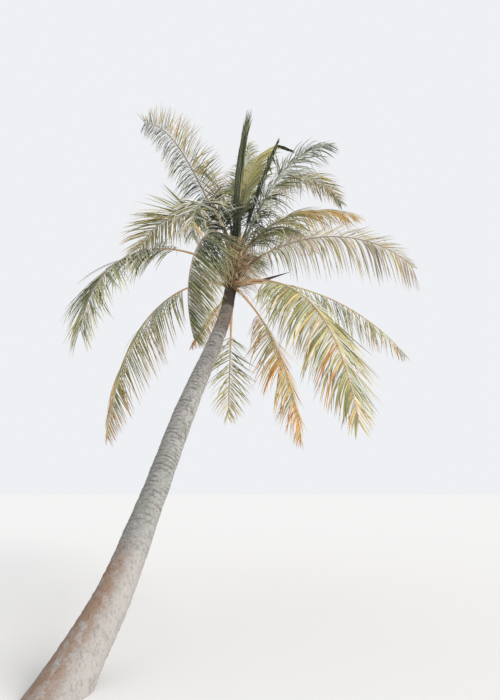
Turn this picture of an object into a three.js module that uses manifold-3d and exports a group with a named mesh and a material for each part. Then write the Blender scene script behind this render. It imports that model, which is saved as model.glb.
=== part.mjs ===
// A coconut palm: a leaning ringed trunk, a heart of leaf bases, an unopened spear leaf, a dry
// spathe and a crown of fronds. Millimetres, +Z up, origin at the centre of the cut at the ground.
// X points to the viewer's right and Y away from the viewer.
import * as THREE from "three";
import { mergeVertices } from "three/addons/utils/BufferGeometryUtils.js";
import Module from "manifold-3d";

const wasm = await Module();
wasm.setup();

// Gap between two solids that touch on the real tree.
const SEAT_GAP = 0.3;
// Air kept between a leaflet and the rest of its own frond, and between it and anything else.
const OWN_CLEARANCE = 1.5;
const CLEARANCE = 3;
// Cubic millimetres that a root and the rib may share where the wall between them is twisted.
const CROSSING = 500;

// Trunk: a stem that leans away from the viewer and to the right, and straightens as it climbs.
const TRUNK_SIDES = 24;
const TRUNK_RINGS = 36;
// Height above the ground, offset to the right and offset away, from the ground to the heart.
const TRUNK_AXIS = [
  [0, 0, 0],
  [750, 330, 560],
  [2000, 645, 1370],
  [3540, 1020, 2240],
  [4560, 1335, 2760],
  [5350, 1555, 3075],
  [5920, 1642, 3215],
];
// Height along the stem as a share, and diameter there.
const TRUNK_DIAMETERS = [
  [0, 560],
  [0.1, 500],
  [0.22, 425],
  [0.35, 368],
  [0.6, 345],
  [0.8, 282],
  [1, 228],
];
// The root flare widens the foot by this much, and fades out over this height.
const FLARE_WIDTH = 70;
const FLARE_HEIGHT = 160;
// Sections turn from level at the ground to square with the stem over this length.
const CUT_BLEND = 700;

// Heart: the growing tip inside its leaf bases. Fronds are seated along this line.
const HEART_FOOT = new THREE.Vector3(1642, 3215, 5920);
const HEART_TOP = new THREE.Vector3(1735, 3360, 6950);
const HEART_SIDES = 12;
// Share of the heart's height, and diameter there.
const HEART_DIAMETERS = [
  [0, 226],
  [0.12, 262],
  [0.35, 250],
  [0.7, 200],
  [1, 130],
];

// A leaf stalk, as width and thickness, from the boot that clasps the heart to the frond's tip.
const BOOT_WIDTH = 160;
const BOOT_THICKNESS = 46;
const STALK_WIDTH = 78;
const STALK_THICKNESS = 46;
const RIB_WIDTH = 44;
const RIB_THICKNESS = 34;
const TIP_WIDTH = 12;
const TIP_THICKNESS = 12;
// Length of each stalk that is part of the heart, and how far off its axis the stalks are seated.
const STUB_LENGTH = 430;
const SEAT_RADIUS = 65;
// Bare rib on the outer piece of a divided frond.
const JOINT_BARE = 25;

// Length of a bay of the bare stalk.
const STALK_BAY = 300;

// Leaflets: pitch along the rib, angle off the rib at the blade's foot and at its tip.
const LEAFLET_PITCH = 172;
const FOOT_SPLAY = 64;
const TIP_SPLAY = 30;
// Width at half length as a share of the pitch, and thickness as a share of the length.
const LEAFLET_WAIST = 0.74;
const LEAFLET_THICKNESS = 0.017;
const THINNEST = 8;
// A leaflet that would touch something is tried again at these shares of its length.
const SHORTER = [1, 0.85, 0.7, 0.55, 0.4];
const LEAFLET_STEPS = 8;
// Share of its half length that a leaflet's root takes up, beside its neighbours' roots.
const ROOT_SHARE = 0.2;

// Defaults of a frond. seat is the share of the heart's height at its foot. azimuth is the compass
// angle from +X towards +Y, rise the angle above level at the foot, and droop the angle it has sunk
// by at the tip, by the power bend. sweep turns it sideways on the way. roll turns the blade about
// its rib, lift folds both ranks of leaflets up, limp is how far they hang, wind is how far they
// are blown to the right, and bare is the share of the frond that has no leaflets. taper is the
// share of its length that a leaflet at the tip lacks. left holds what is different in the rank on
// the rib's left. split is the share where a strongly bent frond is divided.
const FROND = {
  lift: 0, roll: 0, limp: 0.9, wind: 0.25, leaflet: 950, taper: 0.75, bare: 0.2, split: 0, left: {},
};
const FRONDS = [
  { name: "01_upper_left", seat: 0.95, azimuth: 160, rise: 65, droop: 38, bend: 3.6, sweep: -23,
    length: 5350, roll: 60, lift: 40, limp: 0.25, wind: 0.05, leaflet: 800, taper: 0.4, bare: 0.12,
    left: { lift: -15, limp: 2, leaflet: 700, taper: 0.5 } },
  { name: "02_left_arch", seat: 0.5, azimuth: 171, rise: 82, droop: 165, bend: 1.3, sweep: -31,
    length: 3750, roll: 25, lift: -20, limp: 0.7, wind: 0.1, leaflet: 1050, bare: 0.2, split: 0.55,
    left: { lift: 25, limp: 0.3, leaflet: 1100 } },
  { name: "03_left_long", seat: 0.3, azimuth: 200, rise: 50, droop: 135, bend: 0.7, sweep: 45,
    length: 4150, lift: -5, limp: 0.6, leaflet: 1100, taper: 0.55, bare: 0.3, split: 0.45 },
  { name: "04_front_left", seat: 0.55, azimuth: 261, rise: 50, droop: 165, bend: 0.7, sweep: -30,
    length: 3850, roll: -50, lift: -70, limp: 0.3, leaflet: 1000, split: 0.4 },
  { name: "05_left_low", seat: 0.1, azimuth: 160, rise: 36, droop: 124, bend: 0.6, sweep: -30,
    length: 4900, lift: -55, limp: 0.6, leaflet: 1150, bare: 0.22, split: 0.45 },
  { name: "06_trunk_left", seat: 0.06, azimuth: 110, rise: -10, droop: 0, bend: 1, sweep: 5,
    length: 2800, lift: -30, limp: 1.2, leaflet: 450 },
  { name: "07_trunk_back", seat: 0.06, azimuth: 90, rise: -25, droop: 60, bend: 0.6, sweep: 10,
    length: 2850, lift: -20, limp: 0.4, leaflet: 750, bare: 0.38, split: 0.6 },
  { name: "08_orange_hang", seat: 0.06, azimuth: 313, rise: -40, droop: 44, bend: 0.9, sweep: 17,
    length: 3520, lift: -30, limp: 0.5, leaflet: 950, bare: 0.3 },
  { name: "09_right_low", seat: 0.15, azimuth: 308, rise: -12, droop: 60, bend: 1.1, sweep: -29,
    length: 5200, lift: -30, limp: 0.5, leaflet: 1150, taper: 0.8, bare: 0.22 },
  { name: "10_right_mid", seat: 0.2, azimuth: 15, rise: 10, droop: 55, bend: 1, sweep: 5,
    length: 4200, lift: -50, limp: 1.4, leaflet: 900 },
  { name: "11_right_long", seat: 0.35, azimuth: 350, rise: 40, droop: 95, bend: 1.1, sweep: -15,
    length: 3850, roll: -35, limp: 3, wind: 0, leaflet: 1350, taper: 0.55, bare: 0.15,
    left: { lift: 25, limp: 0.3, leaflet: 680, taper: 0.8 } },
  { name: "12_right_back", seat: 0.45, azimuth: 23, rise: 70, droop: 76, bend: 1.1, sweep: -9,
    length: 3450, roll: -25, lift: 10, limp: 1.4, leaflet: 1300, taper: 0.6, bare: 0.17 },
  { name: "13_right_high_back", seat: 0.65, azimuth: 24, rise: 71, droop: 124, bend: 2.5, sweep: 9,
    length: 4450, limp: 0.8, leaflet: 900, split: 0.7 },
  { name: "14_right_high_front", seat: 0.8, azimuth: 332, rise: 61, droop: 82, bend: 3, sweep: -2,
    length: 3050, limp: 1.2, leaflet: 900 },
  { name: "15_kinked", seat: 0.95, azimuth: 10, rise: 72, droop: 0, bend: 1.5, sweep: -5,
    length: 3100, lift: 60, limp: 0.3, leaflet: 450, kink: 0.88 },
  { name: "16_back_mid", seat: 0.4, azimuth: 85, rise: 50, droop: 65, bend: 1.2, sweep: 0,
    length: 3900 },
  { name: "17_centre_back", seat: 1, azimuth: 65, rise: 80, droop: 45, bend: 2.4, sweep: -20,
    length: 3700, lift: 10, limp: 0.7, leaflet: 850 },
  { name: "18_back_high", seat: 0.85, azimuth: 84, rise: 70, droop: 5, bend: 1.9, sweep: -10,
    length: 4200, lift: 10, limp: 0.6, leaflet: 750 },
  { name: "19_back_left", seat: 0.85, azimuth: 125, rise: 88, droop: 50, bend: 0.9, sweep: 0,
    length: 3400, lift: 20, limp: 0.3 },
  { name: "20_front_high", seat: 0.75, azimuth: 235, rise: 80, droop: 185, bend: 1, sweep: 25,
    length: 2600, lift: 10, leaflet: 850, split: 0.55 },
  { name: "21_front_right", seat: 0.12, azimuth: 325, rise: -10, droop: 75, bend: 2, sweep: -10,
    length: 2500, limp: 1.1, leaflet: 750, bare: 0.35 },
  { name: "22_back_low", seat: 0.25, azimuth: 120, rise: 55, droop: 80, bend: 0.8, sweep: -20,
    length: 3500, lift: -40, limp: 1.1, leaflet: 600 },
  { name: "23_back_right", seat: 0.5, azimuth: 55, rise: 58, droop: 70, bend: 1.3, sweep: 0,
    length: 4200 },
].map((own) => ({ ...FROND, ...own }));
// Past its break a kinked frond points this way: compass angle and angle above level.
const KINK_AZIMUTH = 355;
const KINK_RISE = -28;
const RIB_STEPS = 60;
// A frond has its whole roll at one part in this many of its blade.
const ROLL_SPEED = 6;

// Spear: the youngest leaf, still closed, straight up from the heart with its tip to the right.
// Its line starts a little inside the heart's top and is drawn through these control points.
const SPEAR_CONTROLS = [
  new THREE.Vector3(1732, 3356, 6880),
  new THREE.Vector3(1745, 3390, 7250),
  new THREE.Vector3(1715, 3420, 9150),
  new THREE.Vector3(2060, 3420, 10400),
];
const SPEAR_WIDTHS = [
  [0, 70],
  [0.25, 150],
  [0.6, 185],
  [0.85, 130],
  [1, 40],
];
const SPEAR_FLATNESS = 0.55;
const SPEAR_RINGS = 14;

// Spathe: the dry pointed bract of an old flower stalk, low on the right.
const SPATHE_CONTROLS = [
  new THREE.Vector3(1740, 3220, 5995),
  new THREE.Vector3(2270, 3115, 6075),
  new THREE.Vector3(2800, 3010, 6215),
];
const SPATHE_WIDTHS = [
  [0, 50],
  [0.3, 95],
  [0.7, 70],
  [1, 14],
];
const SPATHE_FLATNESS = 0.5;
const SPATHE_RINGS = 7;
const SPINDLE_SIDES = 8;

const WORLD_UP = new THREE.Vector3(0, 0, 1);
const radians = THREE.MathUtils.degToRad;

// The value at x of a curve through [position, value] pairs, straight between them.
function along(pairs, x) {
  const next = Math.max(1, pairs.findIndex(([at]) => at >= x));
  const [x0, y0] = pairs[next - 1];
  const [x1, y1] = pairs[next];
  return y0 + ((x - x0) / (x1 - x0)) * (y1 - y0);
}

// A closed surface from its vertices and triangles.
function surface(points, triangles) {
  const geometry = new THREE.BufferGeometry();
  geometry.setAttribute(
    "position",
    new THREE.Float32BufferAttribute(points.flatMap((p) => [p.x, p.y, p.z]), 3),
  );
  geometry.setIndex(triangles.flat());
  return geometry;
}

// Closes one band between two loops that run counterclockwise seen from ahead.
function band(back, front) {
  return back.flatMap((a, i) => {
    const j = (i + 1) % back.length;
    const triangles = [
      [a, back[j], front[j]],
      [a, front[j], front[i]],
    ];
    return triangles.filter(([p, q, r]) => p !== q && q !== r && p !== r);
  });
}

// A fan over a loop, facing ahead.
function cap(loop) {
  return loop.slice(2).map((v, i) => [loop[0], loop[i + 1], v]);
}

// A closed tube through rings of points, each counterclockwise seen from ahead.
function loft(rings) {
  const sides = rings[0].length;
  const loops = rings.map((_, k) => Array.from({ length: sides }, (_, i) => k * sides + i));
  const bands = loops.slice(1).flatMap((loop, k) => band(loops[k], loop));
  return surface(rings.flat(), [...cap([...loops[0]].reverse()), ...bands, ...cap(loops.at(-1))]);
}

// An ellipse square with the direction that up and across leave free.
function ellipse(centre, across, up, width, thickness, sides) {
  return Array.from({ length: sides }, (_, i) => {
    const turn = ((i + 0.5) / sides) * 2 * Math.PI;
    return centre
      .clone()
      .addScaledVector(up, (Math.cos(turn) * thickness) / 2)
      .addScaledVector(across, (Math.sin(turn) * width) / 2);
  });
}

// The solid of a closed surface, and the other way round.
function solidOf(geometry) {
  const merged = mergeVertices(geometry, 1e-3);
  return new wasm.Manifold(
    new wasm.Mesh({
      numProp: 3,
      vertProperties: merged.attributes.position.array,
      triVerts: new Uint32Array(merged.index.array),
    }),
  );
}

function geometryOf(solid) {
  const mesh = solid.getMesh();
  return new THREE.BufferGeometry()
    .setAttribute("position", new THREE.BufferAttribute(mesh.vertProperties, 3))
    .setIndex(new THREE.BufferAttribute(mesh.triVerts, 1));
}

// The trunk, from the level cut at the ground to the foot of the heart, grown by a margin all over.
function trunk(margin) {
  const axis = new THREE.CatmullRomCurve3(
    TRUNK_AXIS.map(([z, x, y]) => new THREE.Vector3(x, y, z)),
    false,
    "centripetal",
  );
  const height = axis.getLength() - SEAT_GAP + margin;
  const rings = Array.from({ length: TRUNK_RINGS + 1 }, (_, k) => {
    const share = ((k / TRUNK_RINGS) * height) / axis.getLength();
    const centre = axis.getPointAt(share);
    const ahead = axis.getTangentAt(share);
    const square = THREE.MathUtils.smoothstep(share * height, 0, CUT_BLEND);
    const plane = WORLD_UP.clone().lerp(ahead, square).normalize();
    const across = new THREE.Vector3(ahead.z, 0, -ahead.x).normalize();
    const up = ahead.clone().cross(across);
    const flare = FLARE_WIDTH * Math.exp(-centre.z / FLARE_HEIGHT);
    const width = along(TRUNK_DIAMETERS, share) + flare + 2 * margin;
    const ring = ellipse(centre, across, up, width, width, TRUNK_SIDES).reverse();
    // Each point slides along the stem into the plane of its section.
    return ring.map((p) => {
      const off = p.clone().sub(centre).dot(plane) / ahead.dot(plane);
      return p.addScaledVector(ahead, -off);
    });
  });
  return loft(rings);
}

// The direction of a frond's rib at the share s of its length, and the level one to its right.
function heading(frond, s) {
  const kinked = frond.kink && s > frond.kink;
  const rise = radians(kinked ? KINK_RISE : frond.rise - frond.droop * s ** frond.bend);
  const azimuth = radians(kinked ? KINK_AZIMUTH : frond.azimuth + frond.sweep * s);
  const level = new THREE.Vector3(Math.cos(azimuth), Math.sin(azimuth), 0);
  const ahead = level.multiplyScalar(Math.cos(rise)).addScaledVector(WORLD_UP, Math.sin(rise));
  const across = new THREE.Vector3(Math.sin(azimuth), -Math.cos(azimuth), 0);
  return { ahead, across };
}

// The points of a frond's rib, one a step from its seat in the heart to its tip.
function ribPoints(frond) {
  const outward = radians(frond.azimuth);
  const offset = new THREE.Vector3(Math.cos(outward), Math.sin(outward), 0).setLength(SEAT_RADIUS);
  const points = [HEART_FOOT.clone().lerp(HEART_TOP, frond.seat).add(offset)];
  for (let k = 0; k < RIB_STEPS; k += 1) {
    const { ahead } = heading(frond, (k + 0.5) / RIB_STEPS);
    points.push(points.at(-1).clone().addScaledVector(ahead, frond.length / RIB_STEPS));
  }
  return points;
}

// The place of a frond's rib at s, and its own axes there: ahead, across to its right, and up.
function station(frond, s) {
  const at = Math.min(s * RIB_STEPS, RIB_STEPS - 1e-6);
  const k = Math.floor(at);
  const centre = frond.points[k].clone().lerp(frond.points[k + 1], at - k);
  const { ahead, across } = heading(frond, Math.min(s, 1));
  const blade = THREE.MathUtils.clamp((s - frond.bare) / (1 - frond.bare), 0, 1);
  across.applyAxisAngle(ahead, -radians(frond.roll) * Math.min(1, blade * ROLL_SPEED));
  return { centre, ahead, across, up: across.clone().cross(ahead), blade };
}

// Width and thickness of the stalk and rib at s.
function ribSize(frond, s) {
  const distance = s * frond.length;
  const foot = frond.bare * frond.length;
  if (distance < STUB_LENGTH) {
    const share = distance / STUB_LENGTH;
    return [
      THREE.MathUtils.lerp(BOOT_WIDTH, STALK_WIDTH, Math.sqrt(share)),
      THREE.MathUtils.lerp(BOOT_THICKNESS, STALK_THICKNESS, share),
    ];
  }
  if (distance < foot) {
    const share = (distance - STUB_LENGTH) / (foot - STUB_LENGTH);
    return [
      THREE.MathUtils.lerp(STALK_WIDTH, RIB_WIDTH, share),
      THREE.MathUtils.lerp(STALK_THICKNESS, RIB_THICKNESS, share),
    ];
  }
  const share = (s - frond.bare) / (1 - frond.bare);
  return [
    THREE.MathUtils.lerp(RIB_WIDTH, TIP_WIDTH, share),
    THREE.MathUtils.lerp(RIB_THICKNESS, TIP_THICKNESS, share),
  ];
}

// The four corners of the rib at s: top right, bottom right, bottom left, top left.
function ribCorners(frond, s) {
  const { centre, across, up } = station(frond, s);
  const [width, thickness] = ribSize(frond, s);
  return [
    [1, 1],
    [1, -1],
    [-1, -1],
    [-1, 1],
  ].map(([right, top]) =>
    centre
      .clone()
      .addScaledVector(across, (right * width) / 2)
      .addScaledVector(up, (top * thickness) / 2),
  );
}

// Leaflet length at the blade share x, as a share of the longest: it swells, then falls away.
function leafletShare(x, taper) {
  if (x < 0.3) return 0.6 + 0.4 * Math.sin(((Math.PI / 2) * x) / 0.3);
  return 1 - taper * ((x - 0.3) / 0.7) ** 2.2;
}

// The line of one leaflet: its root, its half-way point and its tip, with the rib's direction.
// It starts off the rib at its splay, and gravity and the wind turn it more the further out it is.
function leafletLine(frond, s, side, share, width) {
  const { centre, ahead, across, up, blade } = station(frond, s);
  const [, rib] = ribSize(frond, s);
  const splay = radians(THREE.MathUtils.lerp(FOOT_SPLAY, TIP_SPLAY, blade ** 1.5));
  const rank = side < 0 ? { ...frond, ...frond.left } : frond;
  const lift = radians(rank.lift);
  const outward = across
    .clone()
    .multiplyScalar(side * Math.cos(lift))
    .addScaledVector(up, Math.sin(lift));
  const start = ahead.clone().multiplyScalar(Math.cos(splay)).addScaledVector(outward, Math.sin(splay));
  const length = rank.leaflet * leafletShare(blade, rank.taper) * share;
  const points = [centre.clone()];
  for (let k = 0; k < LEAFLET_STEPS; k += 1) {
    const t = (k + 0.5) / LEAFLET_STEPS;
    const way = start.clone().addScaledVector(WORLD_UP, -rank.limp * t);
    way.x += frond.wind * t;
    points.push(points.at(-1).clone().addScaledVector(way.normalize(), length / LEAFLET_STEPS));
  }
  const [root, middle, tip] = [points[0], points[LEAFLET_STEPS / 2], points.at(-1)];
  const thickness = Math.max(length * LEAFLET_THICKNESS, THINNEST);
  const waist = width * LEAFLET_WAIST;
  const towards = middle.clone().sub(root);
  return { side, root, middle, tip, towards, ahead, rib, thickness, waist };
}

// The three corners of a leaflet's section: its ridge on the blade's upper side, and its edges
// nearer and further along the rib, a little below it as on the folded leaflet of a coconut palm.
function leafletSection(line, centre, towards, width, thickness) {
  const normal = towards.clone().cross(line.ahead).normalize().multiplyScalar(line.side);
  const half = thickness / 2;
  return [
    centre.clone().addScaledVector(normal, half),
    centre.clone().addScaledVector(line.ahead, -width / 2).addScaledVector(normal, -half),
    centre.clone().addScaledVector(line.ahead, width / 2).addScaledVector(normal, -half),
  ];
}

// The triangles of a leaflet that grows out of the four vertices of its root, by way of the three
// corners of its waist, to its tip.
function leafletTriangles(root, [ridge, near, far], tip, side) {
  const waist = side > 0 ? [ridge, near, far, ridge] : [near, ridge, ridge, far];
  const loop = side > 0 ? [ridge, near, far] : [near, ridge, far];
  return [...band(root, waist), ...loop.map((v, i) => [v, loop[(i + 1) % 3], tip])];
}

// A leaflet's solid as it is, with its root in the side wall of the rib.
function wholeLeaflet(line, corners, side) {
  const waist = leafletSection(line, line.middle, line.towards, line.waist, line.thickness);
  const points = [...corners, ...waist, line.tip];
  const triangles = leafletTriangles([0, 1, 2, 3], [4, 5, 6], 7, side);
  return solidOf(surface(points, [...cap([3, 2, 1, 0]), ...triangles]));
}

// A leaflet's solid without its root, which its neighbours' roots touch.
function freeLeaflet(line, width) {
  const start = line.root.clone().lerp(line.middle, ROOT_SHARE);
  const startWidth = width * THREE.MathUtils.lerp(1, LEAFLET_WAIST, ROOT_SHARE);
  const startThickness = THREE.MathUtils.lerp(line.rib, line.thickness, ROOT_SHARE);
  const foot = leafletSection(line, start, line.towards, startWidth, startThickness);
  const waist = leafletSection(line, line.middle, line.towards, line.waist, line.thickness);
  const loops = [[0, 1, 2], [3, 4, 5]];
  const triangles = [[0, 2, 1], ...band(...loops), [3, 4, 6], [4, 5, 6], [5, 3, 6]];
  const facingOut = line.side > 0 ? triangles : triangles.map(([p, q, r]) => [p, r, q]);
  return solidOf(surface([...foot, ...waist, line.tip], facingOut));
}

// The stations of one piece of a frond, and which of its bays between stations carry leaflets.
function bays(frond, from, to) {
  const foot = Math.max(from + JOINT_BARE / frond.length, frond.bare);
  const stalkBays = Math.max(1, Math.round(((foot - from) * frond.length) / STALK_BAY));
  const stalk = Array.from({ length: stalkBays }, (_, i) => from + ((foot - from) * i) / stalkBays);
  const count = Math.round(((to - foot) * frond.length) / LEAFLET_PITCH);
  const blade = Array.from({ length: count + 1 }, (_, i) => foot + ((to - foot) * i) / count);
  return { stations: [...stalk, ...blade], first: stalk.length };
}

// The rib alone, as a solid that nothing else may touch.
function ribSolid(frond, stations) {
  return solidOf(loft(stations.map((s) => ribCorners(frond, s))));
}

// One piece of a frond as one closed surface: a tapered rib of four corners, with a leaflet drawn
// out of its side wall in each bay of the blade, so that the outline is cut to the rib between them.
function frondSurface(frond, stations, leaflets) {
  const points = stations.flatMap((s) => ribCorners(frond, s));
  const corner = (k, i) => k * 4 + i;
  const triangles = [...cap([3, 2, 1, 0])];
  stations.slice(1).forEach((_, k) => {
    [[1, 2], [3, 0]].forEach(([i, j]) => {
      triangles.push([corner(k, i), corner(k, j), corner(k + 1, j)]);
      triangles.push([corner(k, i), corner(k + 1, j), corner(k + 1, i)]);
    });
    [1, -1].forEach((side) => {
      const [i, j] = side > 0 ? [0, 1] : [2, 3];
      const root = [corner(k, i), corner(k, j), corner(k + 1, j), corner(k + 1, i)];
      const leaflet = leaflets.get(`${k}/${side}`);
      if (!leaflet) {
        triangles.push(...cap(root));
        return;
      }
      const { middle, towards, waist, thickness, tip } = leaflet;
      const first = points.length;
      points.push(...leafletSection(leaflet, middle, towards, waist, thickness), tip);
      const sections = [first, first + 1, first + 2];
      triangles.push(...leafletTriangles(root, sections, first + 3, side));
    });
  });
  triangles.push(...cap([0, 1, 2, 3].map((i) => corner(stations.length - 1, i))));
  return surface(points, triangles);
}

// Heart: a tapered core with the boot and stalk of each frond fused on, and any bubble filled.
function leafBases() {
  const direction = HEART_TOP.clone().sub(HEART_FOOT).normalize();
  const across = new THREE.Vector3(direction.z, 0, -direction.x).normalize();
  const up = direction.clone().cross(across);
  const rings = HEART_DIAMETERS.map(([share, width]) => {
    const centre = HEART_FOOT.clone().lerp(HEART_TOP, share);
    return ellipse(centre, across, up, width, width, HEART_SIDES).reverse();
  });
  const stalks = FRONDS.map((frond) => {
    const end = STUB_LENGTH / frond.length;
    return ribSolid(frond, [0, end / 3, (2 * end) / 3, end]);
  });
  const whole = wasm.Manifold.union([solidOf(loft(rings)), ...stalks]);
  const sockets = [trunk(SEAT_GAP), spear(SEAT_GAP), spathe(SEAT_GAP)].map(solidOf);
  return largest(whole.subtract(wasm.Manifold.union(sockets)));
}

// The largest body of a solid, without its scraps and bubbles.
function largest(solid) {
  return solid.decompose().reduce((a, b) => (a.volume() > b.volume() ? a : b));
}

// A flattened tapering spindle along a curve, grown by a margin.
function spindle(curve, widths, flatness, ringCount, margin) {
  const rings = Array.from({ length: ringCount + 1 }, (_, k) => {
    const share = k / ringCount;
    const ahead = curve.getTangent(share);
    const across = new THREE.Vector3(ahead.z, 0, -ahead.x).normalize();
    const up = across.clone().cross(ahead);
    const centre = curve.getPoint(share);
    if (k === 0) centre.addScaledVector(ahead, -margin);
    const width = along(widths, share) + 2 * margin;
    const thickness = along(widths, share) * flatness + 2 * margin;
    return ellipse(centre, across, up, width, thickness, SPINDLE_SIDES);
  });
  return loft(rings);
}

function spear(margin) {
  const curve = new THREE.CubicBezierCurve3(...SPEAR_CONTROLS);
  return spindle(curve, SPEAR_WIDTHS, SPEAR_FLATNESS, SPEAR_RINGS, margin);
}

function spathe(margin) {
  const curve = new THREE.QuadraticBezierCurve3(...SPATHE_CONTROLS);
  return spindle(curve, SPATHE_WIDTHS, SPATHE_FLATNESS, SPATHE_RINGS, margin);
}

const MATERIALS = {
  trunk: new THREE.MeshStandardMaterial({ color: "#a8a39d", roughness: 0.9, metalness: 0 }),
  husk: new THREE.MeshStandardMaterial({ color: "#8a6442", roughness: 0.85, metalness: 0 }),
  leaf: new THREE.MeshStandardMaterial({ color: "#7f8560", roughness: 0.7, metalness: 0 }),
  spathe: new THREE.MeshStandardMaterial({ color: "#4f3a30", roughness: 0.8, metalness: 0 }),
};

const palm = new THREE.Group();

function add(name, geometry, material) {
  const mesh = new THREE.Mesh(geometry, material);
  mesh.name = name;
  palm.add(mesh);
}

FRONDS.forEach((frond) => {
  frond.points = ribPoints(frond);
  const start = (STUB_LENGTH + SEAT_GAP) / frond.length;
  const gap = SEAT_GAP / frond.length;
  frond.pieces = frond.split
    ? [
        { suffix: "_inner", ...bays(frond, start, frond.split) },
        { suffix: "_outer", ...bays(frond, frond.split + gap, 1) },
      ]
    : [{ suffix: "", ...bays(frond, start, 1) }];
});

const trunkGeometry = trunk(0);
const basesSolid = leafBases();
const spearGeometry = spear(0);
const spatheGeometry = spathe(0);

// Everything that a new leaflet has to keep clear of. owner is the frond that it belongs to.
const obstacles = [];
function keepClearOf(whole, owner, free = whole) {
  obstacles.push({ whole, free, owner });
}

// Whether a leaflet comes near an obstacle. The roots of one frond share edges, so they may touch
// but not cross, and only the rest of the leaflet keeps its air from its own frond.
function touches(leaflet, frond) {
  return obstacles.some((other) => {
    const own = other.owner === frond;
    const air = own ? OWN_CLEARANCE : CLEARANCE;
    const a = leaflet.whole.boundingBox();
    const b = other.whole.boundingBox();
    const near = [0, 1, 2].every((i) => b.min[i] < a.max[i] + air && b.max[i] > a.min[i] - air);
    if (!near) return false;
    if (!own) return other.whole.minGap(leaflet.whole, air) < air;
    const shared = other.whole.intersect(leaflet.whole).volume();
    return shared > CROSSING || other.free.minGap(leaflet.free, air) < air;
  });
}

[trunkGeometry, spearGeometry, spatheGeometry].forEach((g) => keepClearOf(solidOf(g)));
keepClearOf(basesSolid);
FRONDS.forEach((frond) =>
  frond.pieces.forEach((piece) => keepClearOf(ribSolid(frond, piece.stations), frond)),
);

// The longest leaflet that fits in one bay of a frond, or nothing.
function fitLeaflet(frond, from, to, side) {
  const width = (to - from) * frond.length;
  const [before, after] = [ribCorners(frond, from), ribCorners(frond, to)];
  const [i, j] = side > 0 ? [0, 1] : [2, 3];
  const root = [before[i], before[j], after[j], after[i]];
  for (const share of SHORTER) {
    const line = leafletLine(frond, (from + to) / 2, side, share, width);
    const whole = wholeLeaflet(line, root, side);
    const free = freeLeaflet(line, width);
    if (!touches({ whole, free }, frond)) {
      keepClearOf(whole, frond, free);
      return line;
    }
  }
  return null;
}

FRONDS.forEach((frond) =>
  frond.pieces.forEach((piece) => {
    const leaflets = new Map();
    for (let k = piece.first; k < piece.stations.length - 1; k += 1) {
      [1, -1].forEach((side) => {
        const leaflet = fitLeaflet(frond, piece.stations[k], piece.stations[k + 1], side);
        if (leaflet) leaflets.set(`${k}/${side}`, leaflet);
      });
    }
    const geometry = frondSurface(frond, piece.stations, leaflets);
    add(`frond_${frond.name}${piece.suffix}`, geometry, MATERIALS.leaf);
  }),
);
add("trunk", trunkGeometry, MATERIALS.trunk);
add("leaf_bases", geometryOf(basesSolid), MATERIALS.husk);
add("spear", spearGeometry, MATERIALS.leaf);
add("spathe", spatheGeometry, MATERIALS.spathe);

export default palm;
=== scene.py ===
# %% [markdown]
# # A leaning coconut palm, leaflet by leaflet
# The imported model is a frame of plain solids: a trunk, a heart of leaf bases, a closed spear leaf,
# a dry spathe and twenty-three fronds. This lesson dresses that frame. Each solid is replaced by a
# finer surface that follows the same rule, worked out with numpy as whole arrays. Everything is in
# metres, +Z is up, and the origin is the centre of the trunk's cut at the ground.

import bpy
import numpy as np
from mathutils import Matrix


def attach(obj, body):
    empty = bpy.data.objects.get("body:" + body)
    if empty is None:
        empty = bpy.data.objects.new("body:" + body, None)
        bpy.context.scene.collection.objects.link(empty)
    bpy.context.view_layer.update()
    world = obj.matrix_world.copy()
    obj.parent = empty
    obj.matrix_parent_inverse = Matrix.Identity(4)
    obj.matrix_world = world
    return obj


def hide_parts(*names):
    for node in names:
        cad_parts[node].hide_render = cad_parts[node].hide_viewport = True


RANDOM_SEED = 11

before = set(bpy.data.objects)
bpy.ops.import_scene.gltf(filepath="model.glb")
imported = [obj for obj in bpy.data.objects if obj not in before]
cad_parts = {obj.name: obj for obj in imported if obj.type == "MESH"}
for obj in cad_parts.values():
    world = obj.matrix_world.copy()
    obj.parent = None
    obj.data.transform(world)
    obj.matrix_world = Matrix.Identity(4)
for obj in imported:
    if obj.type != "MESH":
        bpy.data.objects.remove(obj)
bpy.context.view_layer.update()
rng = np.random.default_rng(RANDOM_SEED)

# %% [markdown]
# ## The camera
# The photograph was taken at eye height, and eye level lies low in its frame, so the camera tips up.
# A shift lens could hold the trunk upright, but the crown is seen from below along a plain tilt, so
# a tilt of the camera is all that is needed.

# %% Camera at the photograph's viewing angle
PHOTO_WIDTH_PX = 500
FOCAL_LENGTH_PX = 500
EYE_LEVEL_BELOW_CENTRE_PX = 139
CAMERA_PLACE = (2.0315, -6.0748, 2.10)
SENSOR_MM = 36

camera = bpy.data.objects.new("camera", bpy.data.cameras.new("camera"))
bpy.context.collection.objects.link(camera)
pitch = np.arctan(EYE_LEVEL_BELOW_CENTRE_PX / FOCAL_LENGTH_PX)
camera.location = CAMERA_PLACE
camera.rotation_euler = (np.pi / 2 + pitch, 0, 0)
camera.data.sensor_fit = "HORIZONTAL"
camera.data.sensor_width = SENSOR_MM
camera.data.lens = SENSOR_MM * FOCAL_LENGTH_PX / PHOTO_WIDTH_PX
bpy.context.scene.camera = camera
print("camera tips up by", round(float(np.degrees(pitch)), 1), "degrees")


# %% [markdown]
# ## Colours and shader nodes
# Every finish in this lesson is made of nodes, not of pictures. One helper turns a colour from a
# paint chart into the linear numbers that a shader needs, and one adds a node with its links. Leaves
# get plain paints. Stalks, leaf bases and the spathe share one recipe: two colours, roughness and
# bump that all follow the same noise, so that a dark grain is also a dull and a deep one.

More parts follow.
